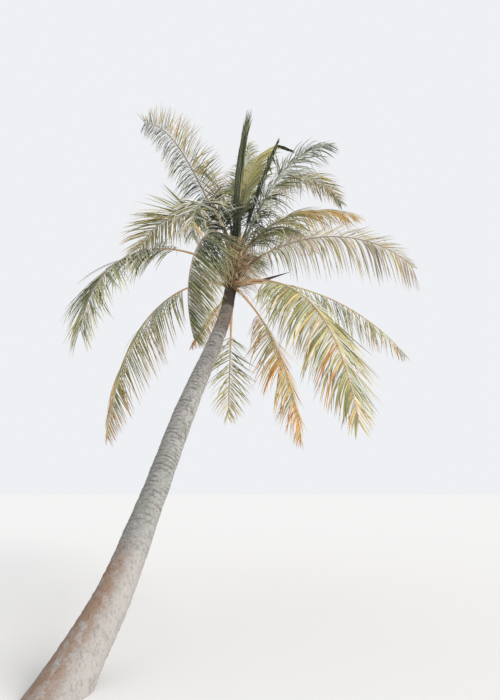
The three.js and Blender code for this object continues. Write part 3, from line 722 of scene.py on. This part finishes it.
# %% [markdown]
# ## Leaflets
# A leaflet is a strip a few centimetres wide and up to a metre and more long, folded like a tent
# along its midrib. It leaves the rib at its splay, and the further out, the more its weight bends
# it down and the wind turns it. Hair particles would be quick to comb but carry no fold and no
# tip shape, so each leaflet is a strip of nine short stretches with three vertices across. All
# leaflets of a frond are worked out at once: arrays run over leaflets, stretches and width.

# %% Leaflet sizes
LEAFLET_PITCH = 0.026
LEAFLET_WIDTH = 0.033
STRETCHES = 9
LAST_PLACE = 0.998
CRACKED_SHARE, CRACKED_PULL = 0.14, 1.6
FOLD_ACROSS, FOLD_DOWN = 0.85, 0.5
DOWN, DOWNWIND = np.array([0, 0, -1.0]), np.array([1.0, 0, 0])


def leaflet_share(x, taper):
    """Leaflet length along the blade as a share of the longest: it swells, then falls away.

    It rises as 0.6 + 0.4 times a quarter sine over x < 0.3, then falls by taper times a power.
    """
    rising = 0.6 + 0.4 * np.sin(np.pi / 2 * np.minimum(x, 0.3) / 0.3)
    falling = 1 - taper * (np.maximum(x - 0.3, 0) / 0.7) ** 2.2
    return np.where(x < 0.3, rising, falling)


def bunches(blade, side, cells):
    """Deviations from -1 to 1 that neighbouring leaflets of one rank share, as the wind sets them."""
    return soft_noise(blade * 0.999, (side + 1) * 0.499, cells, 1, wrap=False)


def ruffled(frond, blade, side, alone, together, cells):
    """Uneven angles: what each leaflet has alone, and what it has together with its neighbours."""
    own = rng.normal(0, alone, len(blade))
    return frond["ruffle"] * (own + together * bunches(blade, side, cells))


def of_rank(frond, side, name, part=...):
    """A frond's number for each leaflet, where the rank on the rib's left may have its own."""
    left, right = frond["left"].get(name, frond[name]), frond[name]
    return np.where(side < 0, np.array(left)[part], np.array(right)[part])


lengths = leaflet_share(np.array([0.0, 0.3, 1.0]), SHAPE["taper"]).round(2)
print("leaflet lengths at foot, swell and tip of the blade, as shares:", lengths)


# %% Leaflet midribs
def leaflet_lines(frond, s, side):
    """The midrib of every leaflet, as (leaflets, stretches + 1, 3), and its own directions.

    A leaflet sets out along cos(splay) ahead + sin(splay) outward. At the share t of its length
    that is pulled down by limp t and aside by wind t, and scaled back to length 1. About one
    leaflet in seven is cracked, and hangs from there on.
    """
    n = len(s)
    centre, ahead, across, up, blade = station(frond, s)
    _, thickness = rib_size(frond, s)
    ruffle = frond["ruffle"]
    splay = FOOT_SPLAY + (TIP_SPLAY - FOOT_SPLAY) * blade**1.5
    splay = splay * frond["gather"] + ruffled(frond, blade, side, 5, 6, 22)
    lift = of_rank(frond, side, "lift") + ruffled(frond, blade, side, 8, 11, 16)
    lift, splay = np.radians(lift), np.radians(splay)[:, None]
    outward = (side * np.cos(lift))[:, None] * across + np.sin(lift)[:, None] * up
    start = np.cos(splay) * ahead + np.sin(splay) * outward
    length = of_rank(frond, side, "leaflet") * leaflet_share(blade, of_rank(frond, side, "taper"))
    length = length * rng.uniform(0.78, 1.05, n)
    limp = of_rank(frond, side, "limp") * rng.uniform(0.6, 1.4, n)
    limp = limp + 0.25 * ruffle * bunches(blade, side, 14)
    t = ((np.arange(STRETCHES) + 0.5) / STRETCHES)[None, :, None]
    cracked = rng.random(n) < CRACKED_SHARE * ruffle
    crack = np.where(cracked, rng.uniform(0.25, 0.8, n), 2)[:, None, None]
    pull = t * limp[:, None, None] + CRACKED_PULL * (t > crack)
    gusts = 0.1 * ruffle * rng.normal(size=(n, 1, 1))
    wind = frond["wind"] + gusts + 0.15 * ruffle * bunches(blade, side, 9)[:, None, None]
    way = start[:, None] + pull * DOWN + t * wind * DOWNWIND
    way = unit(way) * (length / STRETCHES)[:, None, None]
    root = centre + (side * 0.3 * thickness)[:, None] * across
    line = root[:, None] + np.concatenate([np.zeros((n, 1, 3)), np.cumsum(way, axis=1)], axis=1)
    return line, ahead, blade, length


print("one leaflet in", round(1 / CRACKED_SHARE), "is cracked where the ruffle is 1")


# %% Leaflet strips
def strip_faces(leaflets, rings):
    """Triangles of the strips, and the stretch that each triangle of one strip lies in.

    A strip has three vertices at each ring and one at its end. Four triangles join two rings, and
    two close the point.
    """
    k = np.arange(rings - 1)[:, None] * 3
    quads = np.array([[0, 1, 4], [0, 4, 3], [1, 2, 5], [1, 5, 4]]).reshape(1, 12)
    last = (rings - 1) * 3
    point = np.array([[last, last + 1, last + 3], [last + 1, last + 2, last + 3]])
    template = np.vstack([(k + quads).reshape(-1, 3), point])
    stretch = np.r_[np.repeat(np.arange(rings - 1), 4), rings - 1, rings - 1]
    first = np.arange(leaflets)[:, None, None] * (rings * 3 + 1)
    return (first + template).reshape(-1, 3), stretch


def leaflet_strips(line, ahead, width):
    """Vertices and faces of tent-folded strips along their midribs, which end in a point.

    The strip's edges lie at half its width either way along the rib, turned by a slow twist, and
    below the midrib by the fold. The width is w (0.35 + 0.65 min(1, 6 t)) (1 - t^2.4).
    """
    n, rings = line.shape[0], line.shape[1] - 1
    t = np.arange(rings) / rings
    tangent = unit(np.gradient(line, axis=1))[:, :-1]
    normal = unit(np.cross(np.broadcast_to(ahead[:, None], tangent.shape), tangent))
    normal = np.where(normal[..., 2:] < 0, -normal, normal)
    flat = np.cross(tangent, normal)
    twist = rng.normal(0, 0.7, n)[:, None] * t + rng.normal(0, 0.3, n)[:, None]
    twist = twist[..., None]
    normal, flat = (
        np.cos(twist) * normal - np.sin(twist) * flat,
        np.cos(twist) * flat + np.sin(twist) * normal,
    )
    profile = (0.35 + 0.65 * np.minimum(1, 6 * t)) * (1 - t**2.4)
    half = (width[:, None] * profile)[..., None] / 2
    ridge = line[:, :-1]
    left = ridge - half * (FOLD_ACROSS * flat + FOLD_DOWN * normal)
    right = ridge + half * (FOLD_ACROSS * flat - FOLD_DOWN * normal)
    strip = np.stack([left, ridge, right], axis=2).reshape(n, rings * 3, 3)
    vertices = np.concatenate([strip, line[:, -1:]], axis=1)
    faces, stretch = strip_faces(n, rings)
    return vertices.reshape(-1, 3), faces, stretch


print("triangles in one leaflet:", len(strip_faces(1, STRETCHES)[0]))

# %% Ages on the leaflets
# Leaflets near this place in the middle of the crown get darker paints: painted shade, and partly the
# darker green of young leaflets by the growing point.
SHADED_HEART_CENTRE = np.array([1.74, 3.37, 7.35])
SHADED_HEART_REACH = 0.75
SHADE_AGE = 0.4
BUNCH_AGE = 0.08


def paint_numbers(frond, line, blade, side, stretch):
    """Which leaf paint each face gets.

    The age is the frond's own, plus what its tip and the leaflet's tip add, less what is taken off near
    the growing point as painted shade, which also stands partly for the darker young leaflets there. A
    share of the leaflets, fewer in that painted shade, gets one of the two pale paints instead, which
    partly serve as painted highlights.
    """
    age, tip, edge = (of_rank(frond, side, "tint", k) for k in range(3))
    shade = np.exp(-((np.linalg.norm(line[:, 0] - SHADED_HEART_CENTRE, axis=-1) / SHADED_HEART_REACH) ** 2))
    own = age + tip * blade**2 - SHADE_AGE * shade
    own = own + rng.normal(0, frond["spread"], len(blade)) + BUNCH_AGE * bunches(blade, side, 12)
    t = (stretch / STRETCHES)[None, :]
    dry = np.clip(own[:, None] + edge[:, None] * t**2, 0, 0.999)
    number = np.floor(dry * AGES).astype(int)
    pale = rng.random(len(blade)) < frond["silver"] * (1 - shade)
    second = rng.random(pale.sum()) < frond["bleach"]
    number[pale] = np.array(frond["pale"])[second.astype(int)][:, None]
    return number.ravel()


def frond_nodes(frond):
    """The names of the CAD nodes that a frond has: one, or two where it is divided."""
    name = "frond_" + frond["name"]
    return [name + "_inner", name + "_outer"] if frond["split"] else [name]


print("nodes of the fronds:", sum(len(frond_nodes(frond)) for frond in FRONDS))

# %% Grow the leaflets
triangles = 0
for frond in FRONDS:
    bare = frond["bare"]
    count = int((1 - bare) * frond["length"] / LEAFLET_PITCH)
    s = bare + (1 - bare) * (np.arange(count) + 0.5) / count
    s = np.tile(s, 2) + rng.normal(0, 0.15 / count, 2 * count)
    s = np.clip(s, bare, LAST_PLACE)
    side = np.repeat([1.0, -1.0], count)
    kept = rng.random(2 * count) < frond["fill"]
    s, side = s[kept], side[kept]
    line, ahead, blade, length = leaflet_lines(frond, s, side)
    width = LEAFLET_WIDTH * frond["broad"] * (0.5 + 0.5 * np.minimum(1, length))
    width = width * rng.uniform(0.7, 1.15, len(s))
    vertices, faces, stretch = leaflet_strips(line, ahead, width)
    finish = paint_numbers(frond, line, blade, side, stretch)
    name = "leaflets_" + frond["name"]
    leaf = build_piece(name, vertices, faces, leaf_paints, finish, smooth=False)
    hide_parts(*frond_nodes(frond))
    triangles += len(faces)
print("leaflet triangles:", triangles)

# %% [markdown]
# ## Stalks and ribs
# The stalk is smooth, stiff and half round below, with a shallow channel on top that runs out
# along the blade. On old fronds it fades to orange or straw and the rib weathers brown, and in the
# middle of the crown both are green. It could be a curve with a bevel, but its section changes
# along its length, so it is a grid: twelve points round at seventy stations.

# %% Stalk and rib surfaces
RIB_STATIONS, RIB_SIDES = 70, 12
CHANNEL_DEPTH = 0.55


def rib_section():
    """The stalk's outline as shares of half its width and half its thickness.

    An ellipse whose top is pressed in: up = sin a - 0.55 times a bump round the top.
    """
    angle = 2 * np.pi * (np.arange(RIB_SIDES) + 0.5) / RIB_SIDES
    channel = CHANNEL_DEPTH * np.exp(-((angle - np.pi / 2) ** 2) / 0.18)
    return np.cos(angle), np.sin(angle) - channel


def rib_tube(frond, stations):
    """Vertices of the stalk or rib from its stations, as (stations, sides, 3)."""
    centre, _, across, up, _ = station(frond, stations)
    width, thickness = rib_size(frond, stations)
    sideways, upward = rib_section()
    wide = (width[:, None] / 2 * sideways)[..., None] * across[:, None]
    high = (thickness[:, None] / 2 * upward)[..., None] * up[:, None]
    return centre[:, None] + wide + high


print("channel, share of half the thickness:", round(1 - float(rib_section()[1].max()), 2))

# %% Stalk paints and ribs
# A living stalk has a hard smooth skin and a soft gloss. A dead rib is duller and darker in its
# grain, which is drawn at 20 mm so that it shows.
RIB_PAINTS = [
    grained_material("pale orange leaf stalk", "#dfb98f", "#b98c62", 0.5, 0.02),
    grained_material("straw leaf stalk", "#d3c79f", "#b3a478", 0.5, 0.02),
    grained_material("pale green leaf rib", "#b9ba92", "#98986e", 0.5, 0.02),
    grained_material("dry leaf rib", "#cbac86", "#9c7c5b", 0.6, 0.02),
    grained_material("shaded green leaf stalk", "#777a60", "#5a5d47", 0.5, 0.02),
    grained_material("weathered brown leaf rib", "#a08d7e", "#6b5a4e", 0.7, 0.02),
]
# The paints of the stalk and first leaflets, of the next ones and of the rest
STALK_PAINTS = {"orange": (0, 1, 3), "straw": (1, 1, 2), "green": (4, 4, 2), "brown": (3, 5, 5)}
STALK_END, MIDDLE_END = 0.12, 0.35

for frond in FRONDS:
    begin = STUB_LENGTH / frond["length"]
    stations = begin + (1 - begin) * np.linspace(0, 1, RIB_STATIONS) ** 0.9
    vertices, faces = closed_tube(rib_tube(frond, stations))
    row = np.minimum(faces.min(axis=1) // RIB_SIDES, RIB_STATIONS - 1)
    blade = (stations[row] - frond["bare"]) / (1 - frond["bare"])
    foot, middle, end = STALK_PAINTS[frond["stalk"]]
    finish = np.where(blade < STALK_END, foot, np.where(blade < MIDDLE_END, middle, end))
    rib = build_piece("rib_" + frond["name"], vertices, faces, RIB_PAINTS, finish)
    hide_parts(*frond_nodes(frond))
print("rib triangles:", len(FRONDS) * len(faces))

# %% [markdown]
# ## The heart and its leaf bases
# Under the crown each old leaf base clasps the growing tip like a boot, and a brown cloth of crossed
# fibres wraps the gaps. The boots are the first 43 cm of each stalk, made wider, and between them
# the straps of old sheaths climb the core. The core has upright ridges of fibre, and thin dry flower
# stalks hang out of it. One sculpted lump would be less work, but each boot has to lead into its own
# stalk, so they are made by the stalk's rule and joined into one piece.

# %% Core, straps and flower stalks
CORE_RINGS, CORE_SIDES = 90, 72
STRAP_ROWS, STRAP_END = 14, 0.62


def quadratic(controls, t):
    """Points and directions of a curve: (1-t)^2 a + 2 t (1-t) b + t^2 c, from a by b to c."""
    a, b, c = controls
    points = (1 - t) ** 2 * a + 2 * t * (1 - t) * b + t**2 * c
    return points, unit(2 * (1 - t) * (b - a) + 2 * t * (c - b))


def heart_core():
    """The wrapped growing tip: a tapered stem whose radius has upright fibre ridges."""
    rows, columns = np.linspace(0, 1, CORE_RINGS), np.arange(CORE_SIDES) / CORE_SIDES
    v, u = np.meshgrid(rows, columns, indexing="ij")
    ahead = unit(HEART_TOP - HEART_FOOT)
    across = unit(np.array([ahead[2], 0, -ahead[0]]))
    up = np.cross(ahead, across)
    ridges = 0.004 * soft_noise(u, v, 36, 9) + 0.006 * soft_noise(u, v, 9, 12)
    radius = (np.interp(v, HEART_SHARES, HEART_DIAMETERS) / 2 + ridges)[..., None]
    centre = HEART_FOOT + v[..., None] * (HEART_TOP - HEART_FOOT)
    angle = 2 * np.pi * u[..., None]
    return centre + radius * (np.cos(angle) * across + np.sin(angle) * up)


def strap(frond):
    """A leaf sheath: a broad strap that climbs the core from low down and leans out to its stalk."""
    outward = np.radians(frond["azimuth"])
    outward = np.array([np.cos(outward), np.sin(outward), 0])
    low, high = max(frond["seat"] - 0.35, 0.02), frond["seat"] + 0.12
    foot = HEART_FOOT + low * (HEART_TOP - HEART_FOOT) + 0.09 * outward
    bend = HEART_FOOT + high * (HEART_TOP - HEART_FOOT) + 0.13 * outward
    end = station(frond, np.array([STRAP_END / frond["length"]]))[0][0]
    t = np.linspace(0, 1, STRAP_ROWS)[:, None]
    centre, ahead = quadratic((foot, bend, end), t)
    across = np.array([outward[1], -outward[0], 0])
    up = unit(np.cross(np.broadcast_to(across, ahead.shape), ahead))
    sideways, upward = rib_section()
    wide = ((0.15 - 0.09 * t) / 2 * sideways)[..., None] * across
    high = ((0.022 + 0.018 * t) / 2 * upward)[..., None] * up[:, None]
    return centre[:, None] + wide + high


def flower_stalks(count):
    """Lines of thin dry stalks that spring out of the heart, as (count, stretches + 1, 3).

    Each sets out at its own rise, and at the share t of its length it is pulled down and aside by
    its own numbers times t.
    """
    share, azimuth = rng.uniform(0.0, 0.9, count), np.radians(rng.normal(-40, 75, count))
    rise = np.radians(rng.uniform(5, 75, count))[:, None]
    level = np.stack([np.cos(azimuth), np.sin(azimuth), 0 * azimuth], -1)
    start = np.cos(rise) * level - np.sin(rise) * DOWN
    t = ((np.arange(STRETCHES) + 0.5) / STRETCHES)[None, :, None]
    pull = t * rng.uniform(0.4, 2.4, (count, 1, 1)) * DOWN
    sway = t * rng.normal(0, 0.3, (count, 1, 3))
    way = unit(start[:, None] + pull + sway) * rng.uniform(0.25, 0.8, (count, 1, 1)) / STRETCHES
    root = HEART_FOOT + share[:, None] * (HEART_TOP - HEART_FOOT) + 0.08 * level
    steps = np.concatenate([np.zeros((count, 1, 3)), np.cumsum(way, axis=1)], axis=1)
    return root[:, None] + steps


print("core:", CORE_RINGS, "rings of", CORE_SIDES, "vertices")

# %% Leaf base paints
# A fresh leaf base is smooth and orange to straw, with a brown torn edge. The cloth between is coarse dead
# fibre with deep dark gaps, and its brown is darkened further as painted shade in the heart. The grain of
# 6 to 12 mm runs up the heart.
UPRIGHT_GRAIN = (1, 1, 0.15)
BASE_PAINTS = [
    grained_material("palm fibre cloth", "#5c4734", "#2e221a", 0.85, 0.006, (1, 1, 0.2), 0.003, 0.1),
    grained_material("orange leaf base", "#cda277", "#9a6d45", 0.6, 0.012, UPRIGHT_GRAIN, 0.0015),
    grained_material("pale leaf base", "#dcc6a3", "#b39a77", 0.6, 0.012, UPRIGHT_GRAIN, 0.0015),
    grained_material("brown leaf base edge", "#8d6b4e", "#533c2c", 0.8, 0.01, UPRIGHT_GRAIN, 0.002),
    grained_material("straw flower stalk", "#dccbab", "#bda785", 0.7, 0.02),
    grained_material("brown flower stalk", "#a17f5e", "#6f5440", 0.8, 0.02),
    # Painted shade: a dark green for the young leaf bases seated high in the middle of the crown
    grained_material("shaded green leaf base", "#5f624c", "#33352a", 0.6, 0.012, UPRIGHT_GRAIN, 0.0015),
]
CLOTH, ORANGE, PALE, EDGE, STRAW, BROWN, SHADED_GREEN = range(len(BASE_PAINTS))
print("leaf base paints:", len(BASE_PAINTS))

# %% Join the heart
BOOT_STATIONS = 16
BOOT_EDGE = 0.6
# Leaf bases seated above this share get the dark green of painted shade.
HIGH_SEAT = 0.6
STRAP_RISE = 35
FLOWER_STALKS, FLOWER_STALK_WIDTH = 520, 0.014


def heart_parts():
    """The core, flower stalks, straps and boots, each as vertices, faces and material numbers.

    Two columns of a strap and of a boot's lower part are its brown edges. Straps low in the heart take
    turns in four paints, and what is seated high gets a dark green that is painted shade of the crown's
    middle on young green leaf bases.
    """
    vertices, faces = closed_tube(heart_core())
    yield vertices, faces, np.full(len(faces), CLOTH)
    line = flower_stalks(FLOWER_STALKS)
    facing = unit(np.cross(line[:, 1] - line[:, 0], -DOWN))
    widths = np.full(FLOWER_STALKS, FLOWER_STALK_WIDTH)
    vertices, faces, stretch = leaflet_strips(line, facing, widths)
    finish = rng.choice([EDGE, STRAW, BROWN], FLOWER_STALKS, p=[0.15, 0.6, 0.25])
    yield vertices, faces, np.repeat(finish, len(stretch))
    for number, frond in enumerate(frond for frond in FRONDS if frond["rise"] > STRAP_RISE):
        vertices, faces = closed_tube(strap(frond))
        column = faces.min(axis=1) % RIB_SIDES
        face = SHADED_GREEN if frond["seat"] > HIGH_SEAT else (ORANGE, EDGE, PALE, CLOTH)[number % 4]
        yield vertices, faces, np.where(column % (RIB_SIDES // 2) == 0, EDGE, face)
    for frond in FRONDS:
        stations = np.linspace(0.02, 1, BOOT_STATIONS) * STUB_LENGTH / frond["length"]
        vertices, faces = closed_tube(rib_tube(frond, stations))
        row = np.minimum(faces.min(axis=1) // RIB_SIDES, BOOT_STATIONS - 1)
        column = faces.min(axis=1) % RIB_SIDES
        edge = (column % (RIB_SIDES // 2) == 0) & (row < BOOT_STATIONS * BOOT_EDGE)
        outer, inner = (SHADED_GREEN, SHADED_GREEN) if frond["seat"] > HIGH_SEAT else (ORANGE, PALE)
        finish = np.where(row < BOOT_STATIONS // 2, outer, inner)
        yield vertices, faces, np.where(edge, EDGE, finish)


vertices, faces, finish = zip(*heart_parts())
first = np.cumsum([0] + [len(part) for part in vertices[:-1]])
faces = np.vstack([part + start for part, start in zip(faces, first)])
vertices, finish = np.vstack(vertices), np.concatenate(finish)
bases = build_piece("leaf_bases_and_fibre", vertices, faces, BASE_PAINTS, finish)
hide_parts("leaf_bases")
print("leaf base triangles:", len(faces))

# %% [markdown]
# ## The spear
# The youngest leaf is still closed: its leaflets are pressed round the rib in a tight pleated
# bundle that opens a little at the top. A solid spindle would look like a post, so it is made of
# 170 folded leaflets that lie along the spindle and part near their tips.

# %% Spear line
SPEAR_CONTROLS = np.array([
    [1.732, 3.356, 6.880],
    [1.745, 3.390, 7.250],
    [1.715, 3.420, 9.150],
    [2.060, 3.420, 10.400],
])
SPEAR_SHARES = [0, 0.25, 0.6, 0.85, 1]
SPEAR_WIDTHS = [0.070, 0.150, 0.185, 0.130, 0.040]
SPEAR_FLATNESS = 0.55
SPEAR_LEAFLETS = 170
SPEAR_LEAFLET_WIDTH = 0.045
SPEAR_FEATHER, FEATHER_START = 0.5, 0.8
SPEAR_SHADE = 0.18
# The side of the spear toward the sun is painted lighter: painted light.
LIT_SIDE_ANGLE, LIT_SIDE_WIDTH = np.radians(-35), 0.92


def bezier(controls, t):
    """Points on a cubic curve: (1-t)^3 a + 3 t (1-t)^2 b + 3 t^2 (1-t) c + t^3 d."""
    a, b, c, d = controls
    t = np.asarray(t)[..., None]
    return (1 - t) ** 3 * a + 3 * t * (1 - t) ** 2 * b + 3 * t**2 * (1 - t) * c + t**3 * d


print("spear reaches", bezier(SPEAR_CONTROLS, 1.0).round(2))

# %% Spear leaf
# A leaflet runs from one share of the spindle to another, and its distance from the middle is the
# spindle's radius times 0.55 + 0.45 t, plus a feathering near the top that grows with t cubed.
begin = rng.uniform(0.0, 0.72, SPEAR_LEAFLETS)
finish_at = np.minimum(begin + rng.uniform(0.26, 0.36, SPEAR_LEAFLETS), 1.0)
angle = rng.uniform(0, 2 * np.pi, SPEAR_LEAFLETS)
t = np.linspace(0, 1, STRETCHES + 1)[None, :]
along = begin[:, None] + (finish_at - begin)[:, None] * t
radius = np.interp(along, SPEAR_SHARES, SPEAR_WIDTHS) / 2 * (0.55 + 0.45 * t)
radius = radius + SPEAR_FEATHER * t**3 * np.clip(along - FEATHER_START, 0, 1)
line = bezier(SPEAR_CONTROLS, along)
line[..., 0] += radius * np.cos(angle)[:, None]
line[..., 1] += radius * SPEAR_FLATNESS * np.sin(angle)[:, None]
facing = np.stack([-np.sin(angle), np.cos(angle), 0 * angle], -1)
widths = np.full(SPEAR_LEAFLETS, SPEAR_LEAFLET_WIDTH)
vertices, faces, stretch = leaflet_strips(line, facing, widths)

# A lighter stripe runs up the right, on the side toward the sun, as painted light, and the foot gets the
# darkest paints as painted shade.
shade = np.where(
    np.cos(angle - LIT_SIDE_ANGLE) > LIT_SIDE_WIDTH,
    rng.choice([3, 5, SILVER_AND_GLINT], SPEAR_LEAFLETS, p=[0.45, 0.4, 0.15]),
    rng.choice([0, 1, 2, 3], SPEAR_LEAFLETS, p=[0.15, 0.35, 0.3, 0.2]),
)
shade = np.where(begin < SPEAR_SHADE, shade // 3, shade)
finish = np.repeat(shade, len(stretch))
spear = build_piece("spear_leaf", vertices, faces, leaf_paints, finish, smooth=False)
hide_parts("spear")
print("spear triangles:", len(faces))

# %% [markdown]
# ## The spathe
# Low on the right sticks out the dry bract that once wrapped the flowers: woody, boat shaped, dark
# brown and ribbed along its length. A turned spindle would be too even, so it is a grid round a
# curve, flattened, with the ribs as waves.

# %% Spathe
SPATHE_CONTROLS = np.array([[1.740, 3.220, 5.995], [2.270, 3.115, 6.075], [2.800, 3.010, 6.215]])
SPATHE_SHARES = [0, 0.3, 0.7, 1]
SPATHE_WIDTHS = [0.050, 0.095, 0.070, 0.014]
SPATHE_FLATNESS = 0.5
SPATHE_ROWS, SPATHE_COLUMNS = 60, 48
SPATHE_RIBS, SPATHE_RIB_HEIGHT = 14, 0.06


def spathe_rings():
    """A flattened spindle along a bent line, ribbed by 14 waves that fade at both ends."""
    rows, columns = np.linspace(0, 1, SPATHE_ROWS), np.arange(SPATHE_COLUMNS) / SPATHE_COLUMNS
    v, u = np.meshgrid(rows, columns, indexing="ij")
    centre, ahead = quadratic(SPATHE_CONTROLS, v[..., None])
    across = unit(np.stack([ahead[..., 1], -ahead[..., 0], 0 * v], -1))
    up = np.cross(across, ahead)
    ribs = 1 + SPATHE_RIB_HEIGHT * np.cos(SPATHE_RIBS * 2 * np.pi * u) * np.sin(np.pi * v)
    width = np.interp(v, SPATHE_SHARES, SPATHE_WIDTHS) * ribs / 2
    angle = 2 * np.pi * u[..., None]
    wide = width[..., None] * np.cos(angle) * across
    return centre + wide + width[..., None] * SPATHE_FLATNESS * np.sin(angle) * up


# Dead woody husk: matt, with a grain of 8 mm drawn out along it.
vertices, faces = closed_tube(spathe_rings())
woody = grained_material("woody palm spathe", "#6a5244", "#3c2d25", 0.75, 0.008, (0.12, 1, 1), 0.0015, 0.2)
spathe = build_piece("woody_spathe", vertices, faces, [woody])
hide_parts("spathe")
print("spathe triangles:", len(faces))

# %% [markdown]
# ## Floor and light
# The tree stands on a plain pale floor in an even pale light from all round, with one broad soft
# light from the front right that leaves hardly any shadow. A row of studio lamps would have to be
# metres wide to reach a whole tree, so the broad light is a sun with a wide disc.

# %% Floor and light
FLOOR_SIZE = 400
EVEN_LIGHT = 1.0
SUN_STRENGTH, SUN_DISC, SUN_TURN = 3.2, 45, (66, 0, 58)

floor_points = np.array([[-1, -1, 0], [1, -1, 0], [1, 1, 0], [-1, 1, 0]]) * FLOOR_SIZE / 2
floor_mesh = bpy.data.meshes.new("floor")
floor_mesh.from_pydata(floor_points.tolist(), [], [(0, 1, 2, 3)])
floor_mesh.materials.append(plain_material("pale studio floor", "#dcdad7", 0.9, 0.1))
floor = bpy.data.objects.new("floor", floor_mesh)
bpy.context.collection.objects.link(floor)

world = bpy.data.worlds.new("even pale light")
world.use_nodes = True
background = world.node_tree.nodes["Background"]
background.inputs["Color"].default_value = linear("#eef0f4")
background.inputs["Strength"].default_value = EVEN_LIGHT
bpy.context.scene.world = world
bpy.context.scene.view_settings.view_transform = "Standard"

sun = bpy.data.objects.new("soft sun", bpy.data.lights.new("soft sun", "SUN"))
sun.data.energy = SUN_STRENGTH
sun.data.angle = np.radians(SUN_DISC)
sun.rotation_euler = np.radians(SUN_TURN)
bpy.context.collection.objects.link(sun)
print("light:", SUN_STRENGTH, "from the sun,", EVEN_LIGHT, "from all round")
